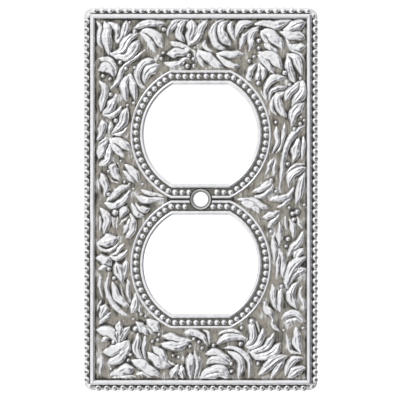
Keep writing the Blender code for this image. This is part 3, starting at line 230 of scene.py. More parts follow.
# Each leaf: greatest width, where along its length that falls, then midrib points x, z
# from the stem end to the tip.
LEAVES = (
    # upper left
    (1.4, 0.5, -31.0, 52.9, -29.9, 51.0, -30.1, 48.5, -30.2, 46.6, -29.3, 45.1),
    (2.5, 0.6, -27.3, 43.2, -27.7, 45.6, -28.0, 48.6, -27.9, 50.6, -28.6, 52.6),
    (1.6, 0.6, -25.1, 46.8, -24.8, 49.4, -25.4, 51.4, -27.6, 52.5),
    (1.9, 0.75, -24.9, 46.6, -23.3, 48.2, -22.6, 50.3, -22.1, 53.0),
    (2.2, 0.55, -26.5, 43.1, -23.6, 44.3, -22.2, 46.6, -20.9, 48.2, -18.8, 49.2),
    (2.6, 0.7, -25.1, 42.6, -22.3, 42.4, -20.4, 43.9, -19.3, 46.0, -18.6, 47.2),
    (0.9, 0.5, -27.6, 43.9, -25.6, 42.6, -24.1, 41.4),
    (1.3, 0.75, -16.5, 44.5, -18.6, 42.6, -21.3, 40.8, -23.3, 38.6, -24.5, 35.4, -26.8, 32.8),
    (1.6, 0.7, -25.4, 37.0, -25.5, 39.2, -27.2, 41.2, -30.2, 41.9),
    (2.4, 0.7, -25.9, 36.9, -27.0, 38.6, -28.5, 39.3, -30.2, 38.5),
    (1.9, 0.82, -16.6, 33.0, -17.9, 33.9, -18.8, 36.2, -18.3, 38.8, -16.6, 40.8, -13.9, 41.3),
    (2.6, 0.6, -16.6, 34.8, -16.4, 37.0, -14.9, 38.6, -12.4, 39.8),
    (2.3, 0.65, -17.9, 49.4, -16.0, 50.1, -14.0, 49.3, -12.7, 47.4, -11.3, 45.3),
    (1.6, 0.6, -18.0, 49.3, -16.1, 48.3, -15.0, 46.3, -13.3, 43.7),
    (1.8, 0.4, -19.9, 50.7, -18.3, 51.6, -15.4, 52.3, -12.6, 52.3, -10.7, 52.3),
    (1.9, 0.5, -30.1, 35.2, -28.9, 33.6, -28.6, 31.3, -29.2, 28.9, -29.7, 26.3),
    (2.3, 0.3, -25.7, 30.2, -26.3, 28.5, -27.2, 26.9, -29.1, 25.4),
    (1.4, 0.5, -23.6, 27.7, -24.8, 26.0, -26.6, 24.9, -29.2, 25.1),
    (2.3, 0.3, -21.8, 27.1, -22.7, 25.2, -23.3, 23.0, -24.5, 21.2, -26.3, 19.9),
    (1.0, 0.5, -21.8, 21.4, -23.0, 19.9, -24.6, 19.3, -26.6, 19.4),
    (2.0, 0.25, -29.2, 23.6, -29.2, 21.8, -29.6, 19.6, -30.7, 17.7),
    (1.1, 0.4, -26.7, 23.0, -26.8, 21.5, -27.4, 19.4),
    (2.0, 0.55, -21.2, 37.2, -22.6, 34.9, -22.8, 32.3, -22.0, 29.3),
    (1.9, 0.55, -20.8, 37.3, -20.6, 35.0, -19.9, 32.4, -19.6, 29.6),
    # top centre
    (1.8, 0.45, -9.8, 48.8, -9.0, 50.8, -7.7, 52.3, -5.6, 52.9, -3.7, 53.3),
    (1.8, 0.4, -5.0, 46.9, -6.5, 49.2, -6.2, 51.2, -4.5, 53.1),
    (2.6, 0.75, -3.7, 46.1, -3.3, 48.3, -2.7, 50.5, -2.8, 53.2),
    (2.0, 0.6, -3.7, 45.8, -1.9, 47.2, -0.6, 49.2, 0.2, 51.3, 1.8, 53.1),
    (1.5, 0.65, -3.0, 44.6, -5.0, 45.3, -7.0, 46.0, -9.1, 46.8),
    (2.2, 0.7, -3.2, 44.5, -5.0, 43.8, -7.5, 43.7, -9.9, 43.2),
    (1.6, 0.65, -3.4, 41.6, -4.8, 41.7, -6.5, 40.5, -8.5, 40.0, -10.8, 40.6),
    (0.8, 0.5, -3.2, 44.6, -2.0, 44.0, -1.5, 42.8, -1.3, 40.8),
    (1.3, 0.5, -0.9, 44.1, -0.5, 42.2, 0.1, 40.6, 1.2, 39.3),
    (2.3, 0.5, -0.8, 44.2, 1.3, 42.8, 3.5, 41.1, 6.3, 39.3),
    (1.1, 0.4, 1.3, 47.4, 1.0, 45.9, 2.0, 44.7, 3.7, 43.7),
    (1.8, 0.65, 6.9, 53.4, 4.7, 52.2, 3.6, 50.4, 3.6, 48.0, 4.6, 46.0, 7.2, 44.6),
    (2.2, 0.6, 7.8, 53.0, 6.2, 51.4, 5.9, 49.6, 6.8, 47.9, 9.0, 45.8),
    (1.3, 0.35, 9.3, 52.9, 8.7, 51.2, 9.2, 49.2, 10.6, 46.9),
    (1.8, 0.7, 4.7, 43.2, 7.0, 43.3, 9.5, 43.2, 12.5, 43.1),
    (1.5, 0.6, 4.8, 42.7, 6.8, 41.1, 9.0, 39.9, 11.4, 39.6),
    # upper right
    (2.0, 0.6, 10.5, 48.3, 11.1, 50.6, 12.6, 52.2, 15.4, 52.5),
    (1.6, 0.5, 17.3, 51.2, 15.0, 49.9, 13.1, 48.4, 12.3, 46.6, 11.6, 44.7),
    (1.6, 0.5, 17.1, 50.4, 15.5, 49.4, 14.8, 47.4, 14.9, 45.7, 14.4, 43.9),
    (2.0, 0.55, 16.1, 52.0, 19.0, 52.4, 22.0, 51.8, 24.4, 52.3, 26.9, 53.2),
    (1.1, 0.5, 17.7, 50.2, 18.7, 48.0, 19.9, 46.5, 21.3, 45.2),
    (2.7, 0.5, 18.0, 49.9, 20.5, 49.3, 22.2, 47.6, 24.3, 45.1),
    (1.4, 0.5, 18.8, 46.2, 20.2, 45.2, 22.9, 43.7),
    (2.6, 0.6, 17.3, 43.6, 19.5, 42.8, 21.7, 42.2, 23.9, 39.1),
    (1.6, 0.4, 17.0, 42.8, 18.7, 41.5, 19.8, 39.8, 21.7, 37.5),
    (1.7, 0.6, 16.4, 40.3, 14.9, 38.6, 14.3, 36.7, 15.1, 35.1),
    (1.2, 0.75, 17.5, 40.3, 17.3, 38.4, 17.0, 36.6, 17.0, 35.3),
    (1.4, 0.6, 17.8, 40.0, 18.7, 38.0, 18.4, 35.6),
    (2.8, 0.7, 24.7, 50.4, 27.0, 51.1, 28.8, 52.0, 30.9, 52.4),
    (2.3, 0.6, 23.9, 49.6, 26.0, 49.0, 28.5, 48.7, 30.8, 48.0),
    (0.9, 0.5, 25.2, 48.2, 26.4, 45.6, 27.8, 43.9, 29.8, 42.9, 31.0, 41.0),
    (1.9, 0.7, 26.6, 45.9, 28.2, 45.2, 30.9, 45.5),
    (2.0, 0.5, 25.7, 43.2, 28.0, 42.1, 29.0, 40.0, 29.9, 37.1),
    (1.9, 0.55, 25.7, 42.6, 26.2, 40.0, 26.6, 37.6, 28.0, 34.8),
    (1.8, 0.65, 19.5, 30.2, 19.2, 32.0, 19.9, 34.4, 21.6, 35.9, 25.2, 36.3),
    (1.2, 0.7, 20.3, 29.6, 20.9, 31.9, 22.6, 33.1, 25.3, 33.3),
    (1.1, 0.5, 25.0, 31.9, 22.7, 31.0, 21.3, 29.0, 21.2, 26.8, 22.6, 24.9),
    (2.0, 0.6, 24.9, 31.6, 23.2, 30.5, 23.0, 28.6, 23.6, 26.6, 25.4, 24.6),
    (2.0, 0.6, 29.8, 35.2, 28.0, 33.3, 26.5, 31.9, 25.2, 29.5),
    (2.4, 0.55, 30.2, 35.1, 30.3, 32.7, 29.5, 30.8, 27.2, 27.9),
    (2.6, 0.35, 30.4, 28.3, 28.9, 27.3, 27.6, 25.3, 27.1, 22.3),
    (0.6, 0.5, 17.9, 33.2, 18.2, 31.5, 20.0, 28.6),
    # middle left
    (1.6, 0.5, -27.0, 18.0, -26.0, 16.2, -24.8, 14.4, -22.6, 12.5),
    (2.1, 0.55, -26.5, 18.0, -24.3, 17.1, -22.6, 16.2, -21.2, 14.6),
    (1.9, 0.6, -27.0, 16.2, -27.4, 14.0, -27.8, 11.6, -30.2, 10.1),
    (2.1, 0.6, -28.0, 17.2, -29.3, 15.2, -30.3, 12.2),
    (0.7, 0.5, -27.8, 18.3, -29.3, 17.2, -30.8, 15.6),
    (2.2, 0.3, -25.5, 10.6, -26.0, 9.2, -25.4, 7.4, -24.0, 5.9),
    (0.6, 0.5, -27.2, 6.6, -26.2, 5.4, -24.2, 4.8),
    (1.9, 0.3, -29.6, 7.7, -28.9, 6.0, -28.3, 3.6, -28.5, 1.0),
    (0.6, 0.5, -30.8, 5.4, -30.2, 3.9, -30.4, 1.8),
    (1.8, 0.55, -27.9, -0.6, -25.6, 1.6, -23.4, 3.2, -21.2, 4.1),
    (1.8, 0.45, -28.6, -1.1, -26.0, -1.9, -23.8, -1.1, -22.3, 0.6, -21.0, 2.5),
    (1.9, 0.5, -22.6, 10.3, -20.6, 8.7, -19.3, 6.9, -18.4, 5.2),
    (1.3, 0.5, -23.1, 8.4, -21.7, 7.2, -19.6, 5.0),
    (1.1, 0.4, -17.8, 2.9, -15.7, 1.9, -13.0, 1.3, -10.9, 0.8),
    (1.6, 0.25, -19.1, 0.7, -17.5, 0.1, -15.4, -0.2, -13.0, 0.0, -10.9, 0.0),
    (1.5, 0.7, -19.3, -1.2, -18.4, -2.6, -17.0, -3.0, -15.1, -2.8),
    (1.5, 0.6, -20.4, -1.2, -19.7, -3.3, -18.5, -4.6, -17.0, -5.1),
    (2.2, 0.35, -22.2, -2.1, -22.9, -3.4, -23.9, -5.2),
    (0.6, 0.5, -26.2, -4.9, -25.4, -6.6, -25.1, -9.2),
    (0.6, 0.5, -24.8, -4.9, -24.8, -6.8, -25.1, -9.2),
    (0.6, 0.5, -21.4, -5.0, -23.0, -6.4, -24.7, -8.0),
    (1.8, 0.8, -20.9, -4.4, -20.1, -6.3, -20.1, -8.2, -20.7, -9.9, -22.3, -11.4),
    (1.5, 0.5, -21.0, -5.8, -21.6, -7.8, -23.0, -10.0),
    (2.0, 0.5, -29.8, -2.6, -28.4, -4.5, -27.8, -6.5, -28.3, -8.4, -28.8, -10.0),
    (0.8, 0.5, -30.1, -4.6, -29.8, -7.0, -30.1, -9.6),
    (0.7, 0.5, -27.3, -4.2, -26.2, -6.2, -25.6, -8.8),
    (3.0, 0.6, -30.5, -13.1, -28.5, -12.5, -26.8, -12.0, -24.9, -11.6),
    (0.9, 0.5, -30.9, -12.8, -30.0, -14.5, -28.0, -15.2, -26.0, -14.8, -24.3, -12.8),
    (1.1, 0.45, -22.7, -13.0, -24.0, -14.6, -25.1, -16.0, -27.0, -16.9),
    (1.4, 0.45, -21.8, -15.1, -23.3, -16.7, -25.1, -17.5, -27.2, -17.0),
    # lower left
    (2.3, 0.45, -31.1, -17.4, -29.3, -17.7, -27.8, -18.4, -26.7, -19.6),
    (1.2, 0.5, -30.5, -20.9, -29.0, -20.2, -27.4, -19.7),
    (0.9, 0.4, -30.1, -21.8, -29.9, -24.5, -29.8, -27.0, -29.2, -29.6),
    (1.3, 0.6, -27.2, -21.7, -27.6, -24.2, -28.0, -26.6, -27.4, -28.9, -26.2, -30.9, -24.6, -32.8,
     -21.4, -34.8),
    (2.4, 0.75, -23.4, -24.6, -24.2, -22.2, -24.8, -20.2, -25.2, -18.8),
    (1.7, 0.7, -23.3, -24.2, -22.8, -22.1, -22.4, -20.0, -22.4, -18.2),
    (1.9, 0.5, -26.2, -24.8, -25.6, -27.0, -24.8, -29.1, -23.1, -30.8, -21.4, -31.8),
    (0.6, 0.5, -23.9, -25.0, -23.5, -27.0, -23.0, -29.0, -22.1, -30.8),
    (1.2, 0.3, -21.8, -23.8, -21.5, -26.0, -21.6, -28.0, -21.0, -30.4),
    (1.9, 0.75, -19.6, -28.2, -19.4, -30.2, -19.9, -32.2, -20.6, -33.7),
    (1.0, 0.6, -18.3, -31.3, -18.1, -32.8, -17.8, -34.0),
    (2.1, 0.35, -28.3, -31.2, -28.8, -32.9, -30.0, -35.2),
    (1.5, 0.4, -26.7, -33.8, -28.2, -35.0, -30.2, -37.0),
    (0.7, 0.5, -29.3, -29.7, -30.2, -31.2, -30.7, -33.2),
    (2.6, 0.65, -24.9, -43.2, -25.5, -41.3, -26.9, -39.6, -28.5, -38.9, -30.9, -38.8),
    (1.2, 0.6, -26.3, -40.7, -27.8, -41.2, -29.6, -42.2),
    (1.9, 0.7, -24.5, -43.3, -24.4, -40.6, -24.3, -38.6, -24.1, -36.3),
    (1.8, 0.6, -24.4, -43.1, -23.7, -41.3, -22.7, -39.7, -21.2, -37.9),
    (2.7, 0.6, -21.6, -42.2, -24.0, -43.8, -26.3, -45.0, -28.9, -45.3),
    (2.5, 0.6, -21.4, -42.4, -22.1, -44.5, -23.6, -46.5, -25.5, -47.8, -27.6, -48.6),
    (1.2, 0.5, -29.6, -46.4, -29.6, -49.0, -29.9, -52.0),
    (2.6, 0.7, -26.6, -52.2, -24.5, -51.2, -22.2, -50.6, -19.9, -50.4),
    (1.0, 0.5, -26.4, -53.0, -23.0, -52.6, -19.2, -52.7),
    (2.5, 0.4, -20.4, -47.9, -17.9, -49.0, -15.7, -50.4, -12.2, -52.4),
    (0.9, 0.5, -19.5, -52.2, -17.0, -51.7, -14.8, -53.1),
    (2.0, 0.35, -18.7, -40.0, -19.0, -42.6, -19.2, -44.8, -18.5, -46.4, -16.9, -48.0),
    (1.3, 0.35, -16.6, -40.6, -16.5, -42.5, -17.0, -44.6, -16.4, -47.6),
    (2.4, 0.5, -16.0, -35.8, -14.3, -37.2, -12.2, -39.2),
    (1.1, 0.5, -16.5, -37.4, -15.2, -38.8, -14.0, -40.1),
    (2.0, 0.5, -19.2, -36.4, -17.4, -38.4, -15.8, -40.2),
    (2.1, 0.5, -14.3, -43.8, -12.5, -45.3, -11.1, -46.9, -10.2, -49.0),
    (2.5, 0.5, -15.6, -45.6, -13.6, -47.5, -11.8, -48.9, -9.2, -49.6),
    # bottom centre
    (1.9, 0.65, -2.8, -42.1, -4.9, -42.1, -7.1, -41.5, -9.0, -40.9, -11.3, -40.6),
    (2.4, 0.6, -3.6, -42.6, -5.6, -43.3, -8.0, -43.7, -11.6, -42.8),
    (1.6, 0.35, -5.0, -39.6, -3.0, -39.6, -1.0, -39.8, 0.5, -41.0, 2.0, -43.3),
    (0.9, 0.5, 0.5, -38.7, 2.0, -39.6, 2.6, -41.3, 2.5, -43.2),
    (1.9, 0.4, 4.9, -42.9, 6.4, -41.7, 8.3, -41.0, 11.0, -40.8, 13.4, -41.6),
    (1.0, 0.4, 5.0, -40.1, 7.2, -39.2, 10.4, -39.3, 13.4, -41.2),
    (1.3, 0.5, 6.8, -44.2, 9.4, -44.1, 12.2, -45.4, 14.0, -47.6, 14.6, -50.0, 14.3, -53.0),
    (2.0, 0.6, 8.2, -45.3, 10.3, -46.4, 11.8, -48.4, 11.9, -50.6, 11.2, -52.8),
    (1.9, 0.4, 1.4, -45.9, 3.5, -45.4, 5.6, -46.0, 7.6, -47.2, 8.9, -48.4),
    (1.9, 0.4, 1.8, -48.8, 3.5, -47.6, 5.6, -48.0, 8.4, -48.9),
    (3.4, 0.5, 0.2, -53.0, 2.6, -51.6, 5.4, -51.1, 8.6, -52.6),
    (2.3, 0.3, -3.2, -45.9, -3.2, -48.0, -3.0, -50.3, -3.1, -53.2),
    (1.4, 0.4, -1.9, -45.1, -1.3, -47.5, -1.0, -49.7, -1.7, -52.9),
    (0.8, 0.5, -0.4, -46.5, -0.3, -49.6, -0.6, -52.8),
    (1.9, 0.65, -6.8, -49.1, -7.5, -50.6, -8.8, -52.8),
    (1.7, 0.5, -5.7, -49.3, -5.8, -51.2, -5.2, -53.2),
    (0.8, 0.5, -10.6, -47.0, -9.2, -48.6, -7.2, -49.4),
    # lower right
    (2.5, 0.6, 25.8, -26.3, 25.8, -23.5, 26.8, -20.8, 28.5, -18.9, 31.0, -17.2),
    (2.1, 0.6, 26.3, -25.2, 27.0, -23.0, 28.6, -21.3, 31.4, -20.8),
    (2.1, 0.6, 29.1, -24.6, 27.5, -26.0, 26.8, -28.0, 27.1, -30.2, 28.5, -32.4),
    (0.9, 0.5, 30.4, -25.3, 29.5, -27.5, 29.8, -29.2, 30.6, -31.0, 30.4, -33.4),
    (1.5, 0.4, 21.2, -25.3, 21.6, -27.0, 21.4, -29.2, 22.0, -31.2, 23.3, -33.4),
    (1.5, 0.5, 23.9, -26.6, 23.6, -28.6, 23.5, -30.8, 23.6, -33.5),
    (1.7, 0.5, 18.8, -30.5, 19.5, -32.3, 20.7, -34.0, 21.4, -35.4),
    (1.8, 0.35, 15.1, -35.4, 15.2, -37.8, 15.5, -40.3, 14.9, -42.3, 13.3, -43.6),
    (1.7, 0.5, 18.5, -38.4, 18.2, -40.6, 17.3, -42.5, 15.8, -43.7, 13.5, -44.0),
    (1.8, 0.4, 21.7, -39.8, 20.9, -41.8, 19.5, -43.7, 17.5, -44.9, 15.0, -45.3),
    (2.4, 0.7, 15.0, -45.6, 16.7, -46.8, 19.2, -46.7, 21.6, -45.4, 23.5, -42.8),
    (2.5, 0.45, 25.5, -46.6, 22.6, -47.5, 20.2, -49.4, 17.3, -52.0),
    (1.7, 0.5, 24.9, -46.9, 23.4, -49.0, 22.3, -51.0, 21.0, -53.1),
    (1.9, 0.4, 30.2, -47.2, 27.7, -47.8, 26.2, -49.5, 25.2, -52.2),
    (2.4, 0.5, 31.0, -50.2, 28.6, -50.8, 26.0, -52.8),
    (1.0, 0.5, 25.4, -39.8, 25.8, -42.0, 26.3, -44.0, 27.4, -45.4, 30.3, -45.9),
    (2.1, 0.5, 28.3, -38.1, 28.5, -41.0, 28.8, -43.5, 29.8, -45.6),
    (1.0, 0.5, 21.3, -35.2, 21.4, -36.9, 22.1, -38.3, 23.6, -39.3),
    (1.5, 0.4, 24.1, -35.6, 25.9, -34.0, 28.4, -34.0, 31.1, -36.4),
    (0.9, 0.5, 24.8, -36.9, 27.0, -36.0, 28.8, -35.8, 30.7, -36.9),
    (0.7, 0.5, 15.8, -35.6, 17.0, -37.6, 17.4, -39.6),
    # middle right
    (1.3, 0.3, 22.5, 21.6, 22.5, 19.8, 22.8, 17.2, 22.2, 15.4, 21.2, 13.6),
    (1.1, 0.25, 24.9, 22.6, 24.8, 20.0, 24.2, 17.0, 23.5, 15.0, 22.2, 13.6),
    (1.5, 0.2, 30.8, 21.9, 28.4, 19.9, 26.2, 17.4, 25.2, 15.0, 24.6, 12.0, 24.2, 8.6, 23.8, 5.8,
     23.4, 3.1),
    (2.2, 0.5, 29.0, 18.0, 28.3, 15.2, 28.0, 13.0, 27.4, 11.3),
    (1.2, 0.4, 30.5, 18.8, 30.5, 16.0, 30.2, 13.8, 30.1, 11.8),
    (0.9, 0.4, 31.0, 10.5, 28.6, 10.2, 26.8, 9.2, 25.4, 7.6),
    (2.0, 0.4, 31.1, 9.3, 29.0, 8.6, 27.2, 7.4, 26.2, 5.4, 26.3, 3.6),
    (2.0, 0.5, 30.6, 7.5, 29.9, 5.6, 29.4, 3.3, 29.2, 1.0, 28.3, -1.2),
    (1.6, 0.65, 27.6, 3.4, 26.4, 1.4, 24.5, 0.5, 22.4, 0.2, 20.6, -0.3),
    (1.1, 0.5, 27.2, 1.8, 26.2, 0.1, 24.6, -1.7, 22.6, -2.4),
    (1.1, 0.4, 21.8, 12.4, 20.6, 10.5, 20.1, 9.0, 19.2, 7.2),
    (1.0, 0.7, 22.1, 12.2, 21.9, 10.0, 21.9, 8.0, 21.7, 6.9),
    (1.7, 0.35, 21.3, 5.9, 19.6, 4.2, 17.6, 3.0, 15.4, 2.2),
    (1.4, 0.4, 21.5, 4.6, 20.4, 2.5, 18.6, 1.2, 15.8, 0.7),
    (1.7, 0.6, 10.9, -0.1, 13.6, -0.1, 16.0, -0.8, 18.0, -1.8, 20.2, -2.6),
    (1.7, 0.5, 12.0, -0.9, 14.5, -1.6, 16.5, -2.7, 17.6, -4.2),
    (1.6, 0.55, 23.4, -3.5, 21.6, -4.4, 20.0, -5.0, 18.3, -5.4),
    (1.3, 0.7, 23.3, -3.8, 22.3, -5.9, 21.1, -7.0, 19.9, -8.4),
    (1.4, 0.5, 26.3, -5.8, 27.2, -7.6, 27.5, -9.4, 27.5, -11.4),
    (0.9, 0.5, 28.4, -5.2, 29.4, -7.0, 30.4, -9.0),
    (0.8, 0.5, 25.1, -4.6, 25.2, -6.8, 25.6, -9.4),
    (1.4, 0.6, 23.3, -6.8, 23.5, -9.4, 23.5, -11.4, 23.3, -13.8),
    (1.9, 0.6, 30.4, -9.6, 29.4, -12.2, 27.7, -14.3, 26.0, -16.8),
    (2.0, 0.5, 30.4, -14.8, 28.9, -16.0, 27.9, -17.8),
    (1.0, 0.6, 23.2, -14.6, 23.1, -17.0, 22.9, -19.4, 22.7, -23.1),
    (1.4, 0.7, 23.3, -14.7, 24.3, -17.3, 24.6, -19.8, 24.5, -23.4),
    (1.5, 0.5, 21.4, -11.0, 21.8, -14.0, 22.0, -18.4),
)

# x, z and diameter of each berry
BERRIES = (
    (-21.2, 52.6, 0.9), (-19.7, 49.9, 1.5), (-24.0, 40.7, 1.4), (-29.1, 36.7, 1.4),
    (-27.0, 35.8, 1.2), (-22.2, 38.8, 1.1), (-19.7, 39.2, 1.1), (-11.0, 50.5, 1.4),
    (-11.2, 43.5, 1.2), (-11.7, 41.8, 1.3), (-3.6, 42.8, 1.4), (-2.2, 41.7, 1.3),
    (-4.0, 39.6, 1.5), (-2.1, 39.7, 1.3), (-1.8, 45.1, 0.8), (0.4, 49.0, 0.9),
    (17.2, 47.2, 1.5), (17.2, 45.0, 1.3), (15.8, 42.4, 1.2), (14.4, 41.1, 1.3),
    (17.1, 34.5, 1.6), (24.9, 37.6, 1.6), (29.6, 36.0, 1.1), (26.4, 34.1, 1.1),
    (27.8, 20.9, 1.4), (29.5, 22.5, 1.3), (30.7, 23.5, 1.0), (29.8, 24.4, 0.8),
    (22.3, 22.9, 1.2), (-26.8, 31.2, 1.3), (-25.3, 23.4, 1.5), (-20.0, 28.6, 1.2),
    (-21.8, 28.0, 1.0), (-23.8, 11.4, 0.9), (-24.6, 10.7, 0.7), (-27.5, 8.3, 1.1),
    (-27.4, 1.5, 1.2), (-22.7, 5.2, 1.0), (-21.2, 4.5, 1.0), (-20.0, 3.1, 1.0),
    (-17.3, 4.5, 1.0), (-25.5, -3.9, 2.0), (-24.4, -11.2, 0.8), (-27.3, -20.7, 1.3),
    (-25.8, -23.4, 1.3), (-17.8, -34.2, 1.2), (-16.4, -34.8, 1.0), (-26.0, -42.4, 1.4),
    (-20.9, -46.2, 1.2), (-21.6, -47.8, 1.1), (-26.7, -50.4, 0.9), (-19.5, -38.4, 1.8),
    (-20.1, -35.6, 1.0), (-12.4, -40.2, 1.0), (-12.8, -41.8, 1.2), (-14.4, -42.2, 1.2),
    (-2.1, -41.5, 1.1), (-0.6, -42.4, 1.2), (0.4, -44.2, 1.3), (-3.2, -43.7, 1.2),
    (-8.3, -46.4, 1.1), (-6.6, -46.9, 1.2), (3.8, -43.4, 1.2), (9.0, -49.0, 1.2),
    (9.1, -51.1, 1.3), (12.1, -38.2, 1.3), (11.8, -43.0, 1.5), (17.0, -48.8, 1.3),
    (24.6, -38.9, 1.0), (30.3, -38.3, 1.1), (15.1, -36.2, 1.9), (25.9, 10.5, 1.3),
    (22.3, 2.4, 1.1), (20.9, 5.6, 1.5), (26.3, -2.5, 1.1), (20.8, -9.6, 1.3),
    (28.6, -3.7, 1.8), (27.2, -4.2, 1.5), (27.6, -6.0, 1.5), (25.9, -11.8, 1.6),
    (25.3, -13.9, 1.2), (23.9, -25.8, 1.3), (30.7, -1.6, 1.0),
)


def smoothstep(low, high, value):
    t = np.clip((value - low) / (high - low), 0.0, 1.0)
    return t * t * (3.0 - 2.0 * t)


def blur(field, sigma):
    """Gaussian blur of a grid; sigma in cells, one number or one for each direction."""
    for axis, spread in enumerate(sigma if isinstance(sigma, tuple) else (sigma, sigma)):
        reach = int(math.ceil(spread * 2.6))
        weights = np.exp(-0.5 * (np.arange(-reach, reach + 1) / spread) ** 2)
        weights /= weights.sum()
        padded = np.pad(field, [(reach, reach) if a == axis else (0, 0) for a in (0, 1)], "edge")
        size = field.shape[axis]
        total = np.zeros_like(field)
        for k, weight in enumerate(weights):
            part = padded[k:k + size] if axis == 0 else padded[:, k:k + size]
            total += part * np.float32(weight)
        field = total
    return field


# ---------------------------------------------------------------- relief of the foliage

def spline(points):
    """Catmull-Rom curve through the midrib points."""
    points = np.array(points, float)
    padded = np.vstack((points[0] * 2 - points[1], points, points[-1] * 2 - points[-2]))
    result = []
    for k in range(len(points) - 1):
        p0, p1, p2, p3 = padded[k:k + 4]
        for i in range(CURVE_STEPS):
            u = i / CURVE_STEPS
            cubic = (p0 * 2 - p1 * 5 + p2 * 4 - p3) * u * u + (p1 * 3 - p0 - p2 * 3 + p3) * u ** 3
            result.append(0.5 * (p1 * 2 + (p2 - p0) * u + cubic))
    result.append(points[-1])
    return np.array(result)


def nearest(curve, px, pz):
    """For each point, its signed distance from the curve and how far along the curve it lies."""
    start = curve[:-1]
    step = curve[1:] - start
    length = np.hypot(step[:, 0], step[:, 1])
    run = np.concatenate(([0.0], np.cumsum(length)))
    rel_x = px[:, None] - start[:, 0]
    rel_z = pz[:, None] - start[:, 1]
    u = np.clip((rel_x * step[:, 0] + rel_z * step[:, 1]) / length ** 2, 0.0, 1.0)
    gap = (rel_x - u * step[:, 0]) ** 2 + (rel_z - u * step[:, 1]) ** 2
    k = gap.argmin(axis=1)
    row = np.arange(len(px))
    side = np.sign(step[k, 0] * rel_z[row, k] - step[k, 1] * rel_x[row, k])
    return np.sqrt(gap[row, k]) * side, (run[k] + u[row, k] * length[k]) / run[-1]


def window(xs, zs, margin):
    """Slices of the grid round some points."""
    i0 = max(0, int((min(xs) - margin + FIELD_X) / FINE))
    i1 = min(COLUMNS, int((max(xs) + margin + FIELD_X) / FINE) + 2)
    j0 = max(0, int((min(zs) - margin + FIELD_Z) / FINE))
    j1 = min(ROWS, int((max(zs) + margin + FIELD_Z) / FINE) + 2)
    return slice(i0, i1), slice(j0, j1)


def leaf_share(t, belly):
    u = np.where(t < belly, t / belly, (1.0 - t) / (1.0 - belly))
    return 0.2 + 0.8 * np.sin(np.clip(u, 0.0, 1.0) * math.pi / 2.0) ** 0.75


def paint_leaf(height, leaf, rng):
    """Raise one leaf on the grid: a cushion with a hollow down its middle and fine chased lines."""
    width, belly = leaf[0], leaf[1]
    curve = spline([(leaf[i], leaf[i + 1]) for i in range(2, len(leaf), 2)])
    part = window(curve[:, 0], curve[:, 1], width * 0.6 + FLANK_W)
    px = GRID_X[part].ravel()
    pz = GRID_Z[part].ravel()
    d, t = nearest(curve, px, pz)
    share = leaf_share(t, belly)
    sway = rng.uniform(7.0, 13.0), rng.uniform(0.0, 6.0), rng.uniform(0.8, 2.4)
    wavy = 1.0 + LEAF_WAVE * np.cos(t * sway[0] + sway[1] + np.sign(d) * sway[2])
    half = 0.5 * width * LEAF_SPREAD * share * wavy
    s = d / half
    edge = np.abs(s)
    taper = np.sin(np.clip(t, 0.02, 0.98) * math.pi) ** 0.6
    full = min(LEAF_MAX, LEAF_LEAST + LEAF_RATIO * width) * rng.uniform(0.9, 1.06)
    broad = float(smoothstep(0.9, 2.0, np.float64(width)))
    shift = rng.uniform(-0.25, 0.25)
    hollow = rng.uniform(0.25, 0.6) * broad * taper
    cushion = np.clip(1.0 - edge ** 1.9, 0.0, 1.0) ** 0.75
    groove = 1.0 - hollow * np.exp(-((s - shift) / rng.uniform(0.2, 0.36)) ** 2)
    lines = 1.0 + 0.09 * broad * taper * np.cos(s * rng.uniform(8.0, 12.0) + rng.uniform(0.0, 6.0))
    lumps = 1.0 + 0.14 * np.cos(t * rng.uniform(7.0, 13.0) + rng.uniform(0.0, 6.0) + s * 1.5)
    rise = full * (0.35 + 0.65 * share)
    foot = rise * FLANK_SHARE
    top = foot + (rise - foot) * cushion * groove * lines * lumps
    ground = height[part].ravel()
    beyond = np.clip(1.0 - (np.abs(d) - half) / FLANK_W, 0.0, 1.0)
    flank = foot * beyond ** 1.6
    moat = np.clip(1.0 - np.abs((np.abs(d) - half) / MOAT_W - 0.5) * 2.0, 0.0, 1.0)
    moat = moat * smoothstep(0.0, 0.2, t)
    lower = np.maximum(ground - MOAT_DEPTH * moat * smoothstep(0.1, 0.5, ground), flank)
    new = np.where(edge < 1.0, np.maximum(ground, top), lower)
    height[part] = new.reshape(height[part].shape)


def paint_berry(height, x, z, diameter):
    part = window((x,), (z,), diameter)
    d = np.hypot(GRID_X[part] - x, GRID_Z[part] - z)
    radius = diameter / 2.0
    ball = np.sqrt(np.clip(1.0 - (d / radius) ** 2, 0.0, 1.0)) * radius * BERRY_RISE
    moat = np.clip(1.0 - (d - radius) / MOAT_W, 0.0, 1.0)
    lower = height[part] - MOAT_DEPTH * moat * smoothstep(0.1, 0.5, height[part])
    height[part] = np.where(d < radius, np.maximum(height[part], ball), lower)


def grain_of(noise, size):
    """Noise blurred to a grain of a size across and along, in mm, scaled to a spread of 1."""
    grain = blur(noise, (size[0] / FINE, size[1] / FINE))
    return grain / grain.std()


